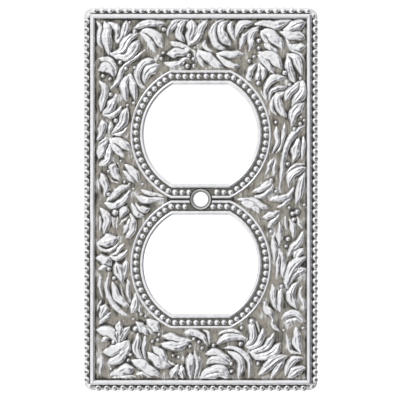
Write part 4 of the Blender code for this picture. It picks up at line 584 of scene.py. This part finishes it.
def foliage_relief():
    """Height above the ground, and the two masks for the surface: dark crevices, which hold patina and
    also a painted shadow along the border under the fillets, and bright silver.
    """
    rng = np.random.default_rng(11)
    height = np.zeros((COLUMNS, ROWS), np.float32)
    for leaf in sorted(LEAVES, key=lambda row: row[0]):
        paint_leaf(height, leaf, rng)
    for x, z, diameter in BERRIES:
        paint_berry(height, x, z, diameter)
    height = blur(height, EDGE_BLUR / FINE)
    raised = smoothstep(0.12, 0.42, height)
    wide = blur(height, 0.55 / FINE)
    near = blur(height, 0.22 / FINE)
    border = np.minimum(BORDER_X - np.abs(GRID_X), BORDER_Z - np.abs(GRID_Z))
    groove_and_shadow = 1.0 - smoothstep(0.15, 0.6, border)
    patina_and_shadow = smoothstep(0.05, 0.30, wide - height) + smoothstep(0.02, 0.11, near - height) * 0.6
    # painted shadow: the ground darkened in a band along the border, under the fillets
    patina_and_shadow = patina_and_shadow + groove_and_shadow * 0.75
    noise = rng.standard_normal((COLUMNS, ROWS)).astype(np.float32)
    stipple = grain_of(noise, (0.16, 0.16))
    swell = grain_of(noise, (0.45, 0.45))
    chased = grain_of(noise, (0.13, 0.6))
    patch = grain_of(noise, (0.95, 0.95))
    ground = 1.0 - raised
    height = height + stipple * (0.03 * ground + 0.01) + chased * 0.04 * ground
    height = height + swell * 0.04 - groove_and_shadow * GUTTER_DEPTH * ground
    light = smoothstep(0.3, 2.2, chased) * 0.3 + smoothstep(0.3, 1.8, patch) * 0.3
    raised = np.clip(raised + light * ground, 0.0, 1.0)
    shade = smoothstep(0.2, 2.0, -chased) * 0.4 + smoothstep(0.2, 1.8, -patch) * 0.5
    patina_and_shadow = patina_and_shadow + shade * ground
    return height, np.clip(patina_and_shadow, 0.0, 1.0), raised


def relief_piece(name, top_half, height, patina_and_shadow, raised):
    """One half of the foliage field as a closed sheet with the relief on its front."""
    nx = (COLUMNS - 1) // STRIDE + 1
    nz = (ROWS - 1) // STRIDE + 1
    bm = bmesh.new()
    bmesh.ops.create_grid(bm, x_segments=nx - 1, y_segments=nz - 1, size=1.0)
    outside = []
    for vert in bm.verts:
        x = vert.co.x * FIELD_X
        z = vert.co.y * FIELD_Z
        vert.co = (x, z, 1.0)
        keep_side = z > -SEAM_EPS if top_half else z < SEAM_EPS
        openings = in_dee(x, z, UNDER_WIRE_R, UNDER_WIRE_FLAT)
        web = abs(x) < WEB_HALF_X and abs(z) < WEB_HALF_Z
        if not keep_side or openings or web:
            outside.append(vert)
    bmesh.ops.delete(bm, geom=outside, context="VERTS")
    loose = [vert for vert in bm.verts if not vert.link_faces]
    bmesh.ops.delete(bm, geom=loose, context="VERTS")
    rim = [edge for edge in bm.edges if edge.is_boundary]
    skirt = bmesh.ops.extrude_edge_only(bm, edges=rim)["geom"]
    for item in skirt:
        if isinstance(item, bmesh.types.BMVert):
            item.co.z = 0.0
    bottom = [item for item in skirt if isinstance(item, bmesh.types.BMEdge)]
    bmesh.ops.triangle_fill(bm, edges=bottom, use_beauty=False)
    bmesh.ops.recalc_face_normals(bm, faces=bm.faces[:])
    mesh = bpy.data.meshes.new(name)
    bm.to_mesh(mesh)
    bm.free()
    flat = read_points(mesh)
    i = np.clip(np.rint((flat[:, 0] + FIELD_X) / FINE).astype(int), 0, COLUMNS - 1)
    j = np.clip(np.rint((flat[:, 1] + FIELD_Z) / FINE).astype(int), 0, ROWS - 1)
    on_top = flat[:, 2] > 0.5
    h = np.where(on_top, SHEET_TOP + height[i, j], SEAT_H)
    write_points(mesh, np.column_stack((flat[:, 0], -h, flat[:, 1])))
    finish_piece(name, mesh, "ornament", ("foliage_panel",), patina_and_shadow[i, j], raised[i, j])


# ---------------------------------------------------------------- meshes

def read_points(mesh):
    co = np.zeros(len(mesh.vertices) * 3, np.float32)
    mesh.vertices.foreach_get("co", co)
    return co.reshape(-1, 3)


def write_points(mesh, points_mm):
    mesh.vertices.foreach_set("co", (points_mm * MM).astype(np.float32).ravel())
    mesh.update()


def plate_points(mesh):
    """x, z and height of a mesh's points, in mm."""
    co = read_points(mesh) / MM
    return co[:, 0], co[:, 2], -co[:, 1]


def finish_piece(name, mesh, slot, nodes, dark, bright, sharp=50.0):
    """Shade a mesh, store its masks for the surface (patina and polish, with painted shadow on the
    foliage and painted reflection dots on the beads), and make it a piece that stands for CAD nodes.
    """
    mesh.polygons.foreach_set("use_smooth", np.ones(len(mesh.polygons), bool))
    mesh.set_sharp_from_angle(angle=math.radians(sharp))
    count = len(mesh.vertices)
    masks = np.zeros((count, 4), np.float32)
    masks[:, 0] = dark
    masks[:, 1] = bright
    masks[:, 3] = 1.0
    # dark channel: patina plus painted shadow and painted reflection dots; second channel: polish
    layer = mesh.color_attributes.new("finish_and_painted_shade", "FLOAT_COLOR", "POINT")
    layer.data.foreach_set("color", masks.ravel())
    piece = bpy.data.objects.new("cast_" + name, mesh)
    bpy.context.scene.collection.objects.link(piece)
    mesh.materials.append(MATERIALS[slot])
    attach(piece, "root")
    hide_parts(*nodes)


def new_mesh(name, bm):
    bmesh.ops.recalc_face_normals(bm, faces=bm.faces[:])
    mesh = bpy.data.meshes.new(name)
    bm.to_mesh(mesh)
    bm.free()
    return mesh


def joined(name, base, parts, operation):
    """Mesh of base united with, or cut by, the other meshes."""
    holder = bpy.data.objects.new(name, base)
    bpy.context.scene.collection.objects.link(holder)
    others = []
    for index, part in enumerate(parts):
        other = bpy.data.objects.new(name + "_tool", part)
        bpy.context.scene.collection.objects.link(other)
        others.append(other)
        modifier = holder.modifiers.new("join_%d" % index, "BOOLEAN")
        modifier.operation = operation
        modifier.solver = "EXACT"
        modifier.object = other
    graph = bpy.context.evaluated_depsgraph_get()
    result = bpy.data.meshes.new_from_object(holder.evaluated_get(graph))
    for obj in others + [holder]:
        bpy.data.objects.remove(obj, do_unlink=True)
    return result


def outline_ring(bm, outline, h):
    return [bm.verts.new((x * MM, -h * MM, z * MM)) for x, z in outline]


def skin(bm, rings, ends):
    """Faces between matching rings of vertices; ends closes the first and last with caps."""
    pairs = list(zip(rings[:-1], rings[1:]))
    if ends == "caps":
        bm.faces.new(rings[0])
        bm.faces.new(rings[-1])
    else:
        pairs.append((rings[-1], rings[0]))
    count = len(rings[0])
    for low, high in pairs:
        for i in range(count):
            j = (i + 1) % count
            bm.faces.new((low[i], low[j], high[j], high[i]))


def in_dee(x, z, radius, flat):
    z = abs(z) - OPEN_Z
    return abs(z) < flat and math.hypot(x, z) < radius


def dee_outline(radius, flat, centre_z):
    """Circle cut off by a flat above and a flat below, with points along the flats too."""
    limit = math.asin(flat / radius)
    half_flat = radius * math.cos(limit)
    points = []
    for turn, sign in ((0.0, 1.0), (math.pi, -1.0)):
        for i in range(ARC_STEPS + 1):
            angle = turn - limit + 2.0 * limit * i / ARC_STEPS
            points.append((radius * math.cos(angle), centre_z + radius * math.sin(angle)))
        for i in range(1, FLAT_STEPS):
            x = half_flat * (1.0 - 2.0 * i / FLAT_STEPS) * sign
            points.append((x, centre_z + flat * sign))
    return points


def dee_sweep(name, section, sign):
    """Section of (offset, flat offset, height) swept round one opening."""
    bm = bmesh.new()
    rings = []
    for offset, flat_offset, h in section:
        outline = dee_outline(OPEN_R + offset, OPEN_FLAT + flat_offset, sign * OPEN_Z)
        rings.append(outline_ring(bm, outline, h))
    skin(bm, rings, "loop")
    return new_mesh(name, bm)


def half_round(centre, half_width, foot, spring, top, steps=12):
    """Section of a half-round bar: straight legs up to the springing, then half an ellipse."""
    points = [(centre - half_width, foot)]
    for i in range(steps + 1):
        angle = math.pi - math.pi * i / steps
        across = centre + half_width * math.cos(angle)
        points.append((across, spring + (top - spring) * math.sin(angle)))
    points.append((centre + half_width, foot))
    return points


def rect_outline(half_x, half_z, radius, steps):
    points = []
    corners = ((1, 1, 0.0), (-1, 1, 90.0), (-1, -1, 180.0), (1, -1, 270.0))
    for sx, sz, start in corners:
        for i in range(steps + 1):
            angle = math.radians(start + 90.0 * i / steps)
            x = sx * (half_x - radius) + radius * math.cos(angle)
            z = sz * (half_z - radius) + radius * math.sin(angle)
            points.append((x, z))
    return points


def stack(levels, grow=0.0):
    """Closed solid through rounded rectangles of changing inset and height."""
    bm = bmesh.new()
    rings = []
    for inset, h, radius in levels:
        outline = rect_outline(HALF_X - inset + grow, HALF_Z - inset + grow, radius, CORNER_STEPS)
        rings.append(outline_ring(bm, outline, h))
    skin(bm, rings, "caps")
    return new_mesh("stack", bm)


def prism(outline, low, high):
    bm = bmesh.new()
    rings = [outline_ring(bm, outline, h) for h in (low, high)]
    skin(bm, rings, "caps")
    return new_mesh("prism", bm)


def circle(radius, steps=48):
    turn = 2.0 * math.pi / steps
    return [(radius * math.cos(i * turn), radius * math.sin(i * turn)) for i in range(steps)]


def unit_ball(segments, rings, half):
    """Sphere of radius 1, or its upper half closed underneath."""
    bm = bmesh.new()
    bmesh.ops.create_uvsphere(bm, u_segments=segments, v_segments=rings, radius=1.0)
    if half:
        low = [vert for vert in bm.verts if vert.co.z < -0.001]
        bmesh.ops.delete(bm, geom=low, context="VERTS")
        bmesh.ops.holes_fill(bm, edges=bm.edges[:], sides=segments)
    mesh = bpy.data.meshes.new("unit_ball")
    bm.to_mesh(mesh)
    bm.free()
    return mesh


def placing(axes, middle):
    """Matrix that takes the unit axes to three axes in mm, about a middle point."""
    place = Matrix.Translation(middle * MM)
    for column, axis in enumerate(axes):
        for row in range(3):
            place[row][column] = axis[row] * MM
    return place


def add_dome(bm, dome, centre, axes, sink):
    """Place a dome; axes are its three half-axes in mm, the last pointing up out of its seat."""
    place = placing(axes, centre - axes[2].normalized() * sink)
    before = len(bm.verts)
    bm.from_mesh(dome)
    bm.verts.ensure_lookup_table()
    bmesh.ops.transform(bm, matrix=place, verts=bm.verts[before:])


# ---------------------------------------------------------------- border pieces

def side_frame(side):
    """Outward direction and direction along one side of the border."""
    outward = {"top": (0, 1), "bottom": (0, -1), "left": (-1, 0), "right": (1, 0)}[side]
    outward = Vector((outward[0], 0.0, outward[1]))
    return outward, Vector((abs(outward.z), 0.0, abs(outward.x)))


def side_point(side, along, inset, h):
    outward, direction = side_frame(side)
    half = HALF_Z if side in ("top", "bottom") else HALF_X
    return outward * (half - inset) + direction * along + OUT * h


def bead_strip(side, first, last, count, rng):
    name = "bead_strip_" + side
    outward, direction = side_frame(side)
    normal = outward * math.sin(FLANK_TILT) + OUT * math.cos(FLANK_TILT)
    across = normal.cross(direction)
    length = abs(last - first) + 2.0 * STRIP_OVERRUN
    middle = side_point(side, (first + last) / 2.0, BEAD_INSET, BEAD_H) - normal * (STRIP_T / 2.0)
    place = placing((direction * length, across * STRIP_W, normal * STRIP_T), middle)
    strip = bmesh.new()
    bmesh.ops.create_cube(strip, size=1.0, matrix=place)
    beads = bmesh.new()
    pitch = abs(last - first) / (count - 1)
    centres = []
    for i in range(count):
        along = first + (last - first) * i / (count - 1) + rng.uniform(-BEAD_DRIFT, BEAD_DRIFT) * pitch
        inset = BALL_INSET + rng.uniform(-BEAD_DRIFT, BEAD_DRIFT)
        size = rng.uniform(0.96, 1.03)
        centre = side_point(side, along, inset, BALL_H)
        axes = (direction * BEAD_R * size, across * BEAD_ACROSS_R * size, normal * BEAD_R * size)
        add_dome(beads, BALL, centre, axes, 0.0)
        centres.append(centre)
    mesh = joined(name, new_mesh(name, strip), [new_mesh(name, beads)], "UNION")
    co = read_points(mesh) / MM
    centres = np.array(centres)
    inward = (co - np.array(side_point(side, 0.0, BALL_INSET, BALL_H))) @ -np.array(outward)
    proud = (co - np.array(side_point(side, 0.0, BEAD_INSET, BEAD_H))) @ np.array(normal)
    dark = np.maximum(1.0 - smoothstep(0.03, 0.08, proud), smoothstep(0.86, 1.0, inward))
    bright = 1.0 - dark
    dark = dark * STRIP_DARK
    dot_radius, dot_shift = DENT_AND_REFLECTION_DOTS[side]
    if dot_radius:
        dot_centres = centres + np.array(outward) * dot_shift
        gap = np.full(len(co), FAR)
        for dot_centre in dot_centres:
            gap = np.minimum(gap, np.hypot(co[:, 0] - dot_centre[0], co[:, 2] - dot_centre[2]))
        dent_and_painted_reflection = (1.0 - smoothstep(dot_radius * 0.45, dot_radius, gap)) * (proud > 0.5)
        # painted reflection: a dark dot on each bead, placed by side, laid over the shallow dent
        dark = np.maximum(dark, dent_and_painted_reflection)
        write_points(mesh, co + np.outer(dent_and_painted_reflection * PIT_DEPTH, -np.array(OUT)))
    finish_piece(name, mesh, "beads", (name,), dark, bright, 65.0)


def corner_bead(name, x, z):
    bm = bmesh.new()
    bmesh.ops.create_icosphere(bm, subdivisions=4, radius=CORNER_BEAD_R * MM)
    bmesh.ops.translate(bm, verts=bm.verts[:], vec=Vector((x, -CORNER_BEAD_H, z)) * MM)
    mesh = joined(name, new_mesh(name, bm), [stack(PAN_LEVELS, GAP)], "DIFFERENCE")
    px, pz, h = plate_points(mesh)
    low = 1.0 - smoothstep(0.35, 0.6, (h - CORNER_BEAD_H) / CORNER_BEAD_R)
    toward = (math.copysign(1.0, x) * (x - px) + math.copysign(1.0, z) * (z - pz)) / CORNER_BEAD_R
    finish_piece(name, mesh, "beads", (name,), low * smoothstep(-0.3, 0.5, toward), 1.0, 65.0)


def fillet(side, rng):
    """Half-round bar with mitred ends, very slightly wavy along its length."""
    name = "fillet_" + side
    half = HALF_X if side in ("top", "bottom") else HALF_Z
    section = half_round(FILLET_INSET, FILLET_HALF_W, SEAT_H, FILLET_SPRING, FILLET_TOP)
    stations = int(half * 2.0 / FILLET_STEP)
    rough = rng.standard_normal(stations + WAVE_SPAN)
    wave = np.convolve(rough, np.ones(WAVE_SPAN) / WAVE_SPAN, "same")[WAVE_SPAN // 2:-(WAVE_SPAN // 2)]
    bm = bmesh.new()
    rings = []
    for i in range(stations + 1):
        f = 2.0 * i / stations - 1.0
        drift = wave[i] * FILLET_WAVE * (1.0 - f * f)
        ring = []
        for inset, h in section:
            along = f * (half - inset - MITRE_GAP)
            ring.append(bm.verts.new(side_point(side, along, inset + drift, h) * MM))
        rings.append(ring)
    skin(bm, rings, "caps")
    mesh = new_mesh(name, bm)
    x, z, h = plate_points(mesh)
    low = 1.0 - smoothstep(3.88, 4.2, h)
    finish_piece(name, mesh, "mouldings", (name,), low, smoothstep(3.86, 4.1, h), 60.0)


# ---------------------------------------------------------------- opening surrounds

def dee_path(radius, flat, count):
    """Evenly spaced points round a circle cut off by two flats."""
    limit = math.asin(flat / radius)
    half_flat = radius * math.cos(limit)
    arc = 2.0 * limit * radius
    total = 2.0 * arc + 4.0 * half_flat
    places = []
    for i in range(count):
        s = total * i / count
        side = 0.0
        if s >= arc + 2.0 * half_flat:
            s -= arc + 2.0 * half_flat
            side = math.pi
        if s < arc:
            angle = side - limit + s / radius
            places.append((radius * math.cos(angle), radius * math.sin(angle)))
        else:
            turn = math.cos(side)
            places.append(((half_flat - (s - arc)) * turn, flat * turn))
    return places


def opening_lip(prefix, sign):
    section = [(0.0, UNDERSIDE_H)]
    steps = 10
    for i in range(steps + 1):
        angle = math.pi - math.pi * i / steps
        across = LIP_W / 2.0 * (1.0 + math.cos(angle))
        section.append((across, LIP_SPRING + (LIP_TOP - LIP_SPRING) * math.sin(angle)))
    section += [(LIP_W, SEAT_H), (LIP_LEG_W, SEAT_H), (LIP_LEG_W, UNDERSIDE_H)]
    name = prefix + "_opening_lip"
    mesh = dee_sweep(name, [(a, a * LIP_FLAT_RATIO, h) for a, h in section], sign)
    x, z, h = plate_points(mesh)
    finish_piece(name, mesh, "mouldings", (name,), (1.0 - smoothstep(3.9, 4.3, h)) * 0.6, 1.0, 60.0)


def rim_wire(prefix, sign):
    section = half_round(0.0, RIM_HALF_W, SEAT_H, RIM_SPRING, RIM_TOP, 10)
    name = prefix + "_rim_wire"
    mesh = dee_sweep(name, [(RIM_PATH + a, RIM_FLAT_EXTRA + a, h) for a, h in section], sign)
    mesh = joined(name, mesh, [prism(circle(SEAT_CLEAR_R), *SEAT_CUT)], "DIFFERENCE")
    x, z, h = plate_points(mesh)
    low = 1.0 - smoothstep(4.15, 4.4, h)
    finish_piece(name, mesh, "mouldings", (name,), low, smoothstep(4.0, 4.3, h), 60.0)


def bead_ring(prefix, sign, rng):
    name = prefix + "_bead_ring"
    corners = ((BAND_IN, BAND_FLAT_IN, SEAT_H), (BAND_IN, BAND_FLAT_IN, BAND_TOP))
    corners += ((BAND_OUT, BAND_FLAT_OUT, BAND_TOP), (BAND_OUT, BAND_FLAT_OUT, SEAT_H))
    band = dee_sweep(name, corners, sign)
    beads = bmesh.new()
    for x, z in dee_path(OPEN_R + BEAD_PATH, OPEN_FLAT + FLAT_BEAD_PATH, RING_BEAD_COUNT):
        x += rng.uniform(-RING_JITTER, RING_JITTER)
        z += sign * OPEN_Z + rng.uniform(-RING_JITTER, RING_JITTER)
        size = RING_BEAD_R * rng.uniform(0.95, 1.03)
        if math.hypot(x, z) < SEAT_CLEAR_R + RING_BEAD_R * 0.3:
            continue
        centre = Vector((x, -BAND_TOP, z))
        axes = (Vector((size, 0, 0)), Vector((0, 0, size)), OUT * RING_BEAD_R)
        add_dome(beads, DOME, centre, axes, BEAD_SINK)
    mesh = joined(name, band, [new_mesh(name, beads)], "UNION")
    mesh = joined(name, mesh, [prism(circle(SEAT_CLEAR_R), *SEAT_CUT)], "DIFFERENCE")
    x, z, h = plate_points(mesh)
    rise = h - BAND_TOP
    channel = (1.0 - smoothstep(0.0, 0.12, rise)) * CHANNEL_DARK
    finish_piece(name, mesh, "beads", (name,), channel, smoothstep(0.0, 0.1, rise), 65.0)


def screw_seat():
    steps = 64
    bm = bmesh.new()
    rings = []
    for radius, h in SEAT_SECTION:
        rings.append(outline_ring(bm, circle(radius, steps), h))
    skin(bm, rings, "loop")
    mesh = new_mesh("screw_seat", bm)
    x, z, h = plate_points(mesh)
    finish_piece("screw_seat", mesh, "seat", ("screw_seat",), 1.0 - smoothstep(3.95, 4.3, h), 1.0, 40.0)


def back_pan():
    holes = [stack(HOLLOW_LEVELS), prism(circle(PAN_HOLE_R), *PAN_CUT)]
    for sign in (1, -1):
        outline = dee_outline(OPEN_R + PAN_OPEN_EXTRA, OPEN_FLAT + PAN_OPEN_FLAT_EXTRA, sign * OPEN_Z)
        holes.append(prism(outline, *PAN_CUT))
    mesh = joined("back_pan", stack(PAN_LEVELS), holes, "DIFFERENCE")
    x, z, h = plate_points(mesh)
    finish_piece("back_pan", mesh, "pan", ("back_pan",), smoothstep(1.99, 2.4, h), 1.0, 35.0)


# ---------------------------------------------------------------- materials

def antique_silver(name, ground, silver, grain, gloss, creased=0.85):
    """Polished silver over a dark antique patina: masks from the mesh, which also carry painted shadow
    and painted reflection dots, and from open creases.
    """
    material = bpy.data.materials.new(name)
    material.use_nodes = True
    nodes = material.node_tree.nodes
    links = material.node_tree.links
    shader = nodes["Principled BSDF"]

    def node(kind, **settings):
        made = nodes.new("ShaderNode" + kind)
        for key, value in settings.items():
            setattr(made, key, value)
        return made

    def mix(kind, factor, a, b):
        made = node("Mix", data_type=kind)
        pick = {"RGBA": (6, 7, 2), "FLOAT": (2, 3, 0)}[kind]
        for slot_index, value in ((0, factor), (pick[0], a), (pick[1], b)):
            socket = made.inputs[slot_index]
            if isinstance(value, bpy.types.NodeSocket):
                links.new(value, socket)
            elif kind == "RGBA" and slot_index:
                socket.default_value = (value[0], value[1], value[2], 1.0)
            else:
                socket.default_value = value
        return made.outputs[pick[2]]

    def math_node(operation, a, b):
        made = node("Math", operation=operation, use_clamp=True)
        for index, value in enumerate((a, b)):
            if isinstance(value, bpy.types.NodeSocket):
                links.new(value, made.inputs[index])
            else:
                made.inputs[index].default_value = value
        return made.outputs[0]

    def ramp(value, low, high, out_low, out_high):
        made = node("MapRange", interpolation_type="SMOOTHSTEP")
        links.new(value, made.inputs["Value"])
        made.inputs["From Min"].default_value = low
        made.inputs["From Max"].default_value = high
        made.inputs["To Min"].default_value = out_low
        made.inputs["To Max"].default_value = out_high
        return made.outputs["Result"]

    coords = node("TexCoord")

    def noise(scale, detail, roughness=0.55):
        made = node("TexNoise")
        links.new(coords.outputs["Object"], made.inputs["Vector"])
        made.inputs["Scale"].default_value = scale
        made.inputs["Detail"].default_value = detail
        made.inputs["Roughness"].default_value = roughness
        return made.outputs["Fac"]

    masks = node("SeparateColor")
    attribute = node("Attribute", attribute_name="finish_and_painted_shade")
    links.new(attribute.outputs["Color"], masks.inputs[0])
    creases = node("AmbientOcclusion", samples=8)
    creases.inputs["Distance"].default_value = CREASE_REACH * MM
    hidden = ramp(creases.outputs["AO"], 0.15, 0.60, creased, 0.0)

    cloud = noise(420.0, 3.0)
    speck = noise(5200.0, 4.0)
    worn = math_node("ADD", masks.outputs[1], ramp(cloud, 0.3, 0.7, -0.12, 0.12))
    polish = ramp(worn, 0.05, 0.75, 0.0, 1.0)
    # the mesh's dark mask: patina, plus painted shadow under the fillets and painted reflection dots on
    # the beads
    dark = math_node("MAXIMUM", masks.outputs[0], hidden)
    dark = math_node("MULTIPLY", dark, ramp(speck, 0.25, 0.6, 0.75, 1.0))

    bright_tone = mix("RGBA", ramp(cloud, 0.35, 0.7, 0.0, 1.0), silver, [c * 0.90 for c in silver])
    deep, pale = [c * 0.72 for c in ground], [c * 1.25 for c in ground]
    ground_tone = mix("RGBA", ramp(speck, 0.3, 0.7, 0.0, 1.0), deep, pale)
    colour = mix("RGBA", polish, ground_tone, bright_tone)
    colour = mix("RGBA", dark, colour, DARK_TONE)
    links.new(colour, shader.inputs["Base Color"])

    metallic = mix("FLOAT", polish, 0.55, 1.0)
    links.new(mix("FLOAT", dark, metallic, 0.0), shader.inputs["Metallic"])
    rough = mix("FLOAT", polish, 0.58, ramp(speck, 0.3, 0.7, gloss - 0.05, gloss + 0.06))
    links.new(mix("FLOAT", dark, rough, 0.6), shader.inputs["Roughness"])

    lumps = noise(1500.0, 2.0)
    height = math_node("ADD", math_node("MULTIPLY", lumps, 0.6), math_node("MULTIPLY", speck, 0.4))
    bump = node("Bump")
    bump.inputs["Strength"].default_value = grain
    bump.inputs["Distance"].default_value = 0.06 * MM
    links.new(height, bump.inputs["Height"])
    links.new(bump.outputs["Normal"], shader.inputs["Normal"])
    return material


# ---------------------------------------------------------------- studio

def studio():
    """White to the camera; metal sees a bright tent with one darker side."""
    scene = bpy.context.scene
    scene.view_settings.view_transform = "Standard"
    scene.view_settings.look = "None"

    world = bpy.data.worlds.new("studio")
    scene.world = world
    world.use_nodes = True
    nodes = world.node_tree.nodes
    links = world.node_tree.links
    background = nodes["Background"]
    coords = nodes.new("ShaderNodeTexCoord")
    facing = nodes.new("ShaderNodeVectorMath")
    facing.operation = "DOT_PRODUCT"
    facing.inputs[1].default_value = Vector(DARK_SIDE).normalized()
    links.new(coords.outputs["Generated"], facing.inputs[0])
    sweep = nodes.new("ShaderNodeMapRange")
    sweep.interpolation_type = "SMOOTHSTEP"
    sweep.inputs["From Min"].default_value = DARK_EDGE[0]
    sweep.inputs["From Max"].default_value = DARK_EDGE[1]
    sweep.inputs["To Min"].default_value = TENT_BRIGHT
    sweep.inputs["To Max"].default_value = TENT_DARK
    links.new(facing.outputs["Value"], sweep.inputs["Value"])
    path = nodes.new("ShaderNodeLightPath")
    seen = nodes.new("ShaderNodeMix")
    seen.data_type = "FLOAT"
    links.new(path.outputs["Is Camera Ray"], seen.inputs[0])
    links.new(sweep.outputs["Result"], seen.inputs[2])
    seen.inputs[3].default_value = BACKDROP
    tint = nodes.new("ShaderNodeMix")
    tint.data_type = "RGBA"
    links.new(seen.outputs[0], tint.inputs[0])
    tint.inputs[6].default_value = SHADE_TINT
    tint.inputs[7].default_value = (1.0, 1.0, 1.0, 1.0)
    links.new(tint.outputs[2], background.inputs["Color"])
    links.new(seen.outputs[0], background.inputs["Strength"])

    bm = bmesh.new()
    floor_z = CAD_LOW.z - FLOOR_DROP
    place = Matrix.Translation((0.0, 0.0, floor_z))
    bmesh.ops.create_grid(bm, x_segments=1, y_segments=1, size=2.0, matrix=place)
    mesh = bpy.data.meshes.new("floor")
    bm.to_mesh(mesh)
    bm.free()
    floor = bpy.data.objects.new("floor", mesh)
    scene.collection.objects.link(floor)
    paint = bpy.data.materials.new("floor_white")
    paint.use_nodes = True
    shader = paint.node_tree.nodes["Principled BSDF"]
    shader.inputs["Base Color"].default_value = (0.9, 0.9, 0.9, 1.0)
    shader.inputs["Roughness"].default_value = 0.9
    shader.inputs["Emission Color"].default_value = (1.0, 1.0, 1.0, 1.0)
    shader.inputs["Emission Strength"].default_value = FLOOR_GLOW
    mesh.materials.append(paint)
    floor.visible_glossy = False

    for name, place, size, power in LIGHTS:
        light = bpy.data.lights.new(name, "AREA")
        light.shape = "SQUARE"
        light.size = size
        light.energy = power
        lamp = bpy.data.objects.new(name, light)
        lamp.location = place
        lamp.rotation_euler = (-Vector(place)).to_track_quat("-Z", "Y").to_euler()
        scene.collection.objects.link(lamp)

    camera = bpy.data.cameras.new("camera")
    camera.sensor_width = 36.0
    camera.lens = camera.sensor_width * CAMERA_DISTANCE / FRAME_WIDTH
    camera.clip_start = 0.01
    camera.clip_end = 20.0
    eye = bpy.data.objects.new("camera", camera)
    eye.location = (AIM_X, FACE_Y - CAMERA_DISTANCE, AIM_Z)
    eye.rotation_euler = (math.radians(90.0), 0.0, 0.0)
    scene.collection.objects.link(eye)
    scene.camera = eye


MATERIALS = {
    "ornament": antique_silver("ornament_silver", GROUND_TONE, SILVER_TONE, 0.5, 0.20),
    "mouldings": antique_silver("moulding_silver", GROUND_TONE, SILVER_TONE, 0.3, 0.20),
    "beads": antique_silver("bead_silver", GROUND_TONE, SILVER_TONE, 0.25, 0.16, 0.45),
    "seat": antique_silver("seat_silver", GROUND_TONE, SEAT_TONE, 0.3, 0.35),
    "pan": antique_silver("pan_silver", GROUND_TONE, PAN_TONE, 0.6, 0.45),
}
DOME = unit_ball(24, 16, True)
BALL = unit_ball(32, 24, False)
GRID_X, GRID_Z = np.meshgrid(
    np.linspace(-FIELD_X, FIELD_X, COLUMNS, dtype=np.float32),
    np.linspace(-FIELD_Z, FIELD_Z, ROWS, dtype=np.float32),
    indexing="ij",
)

RELIEF = foliage_relief()
relief_piece("foliage_upper", True, *RELIEF)
relief_piece("foliage_lower", False, *RELIEF)

draw = np.random.default_rng(23)
for border_side in ("top", "bottom", "left", "right"):
    fillet(border_side, draw)
bead_strip("top", -TOP_X, TOP_X, TOP_COUNT, draw)
bead_strip("bottom", -BOTTOM_X, BOTTOM_X, BOTTOM_COUNT, draw)
bead_strip("left", SIDE_BOTTOM_Z, SIDE_TOP_Z, LEFT_COUNT, draw)
bead_strip("right", SIDE_BOTTOM_Z, SIDE_TOP_Z, RIGHT_COUNT, draw)
for corner, corner_x, corner_z in CORNER_BEADS:
    corner_bead("corner_bead_" + corner, corner_x, corner_z)
for prefix, up in (("upper", 1), ("lower", -1)):
    opening_lip(prefix, up)
    bead_ring(prefix, up, draw)
    rim_wire(prefix, up)
screw_seat()
back_pan()
studio()
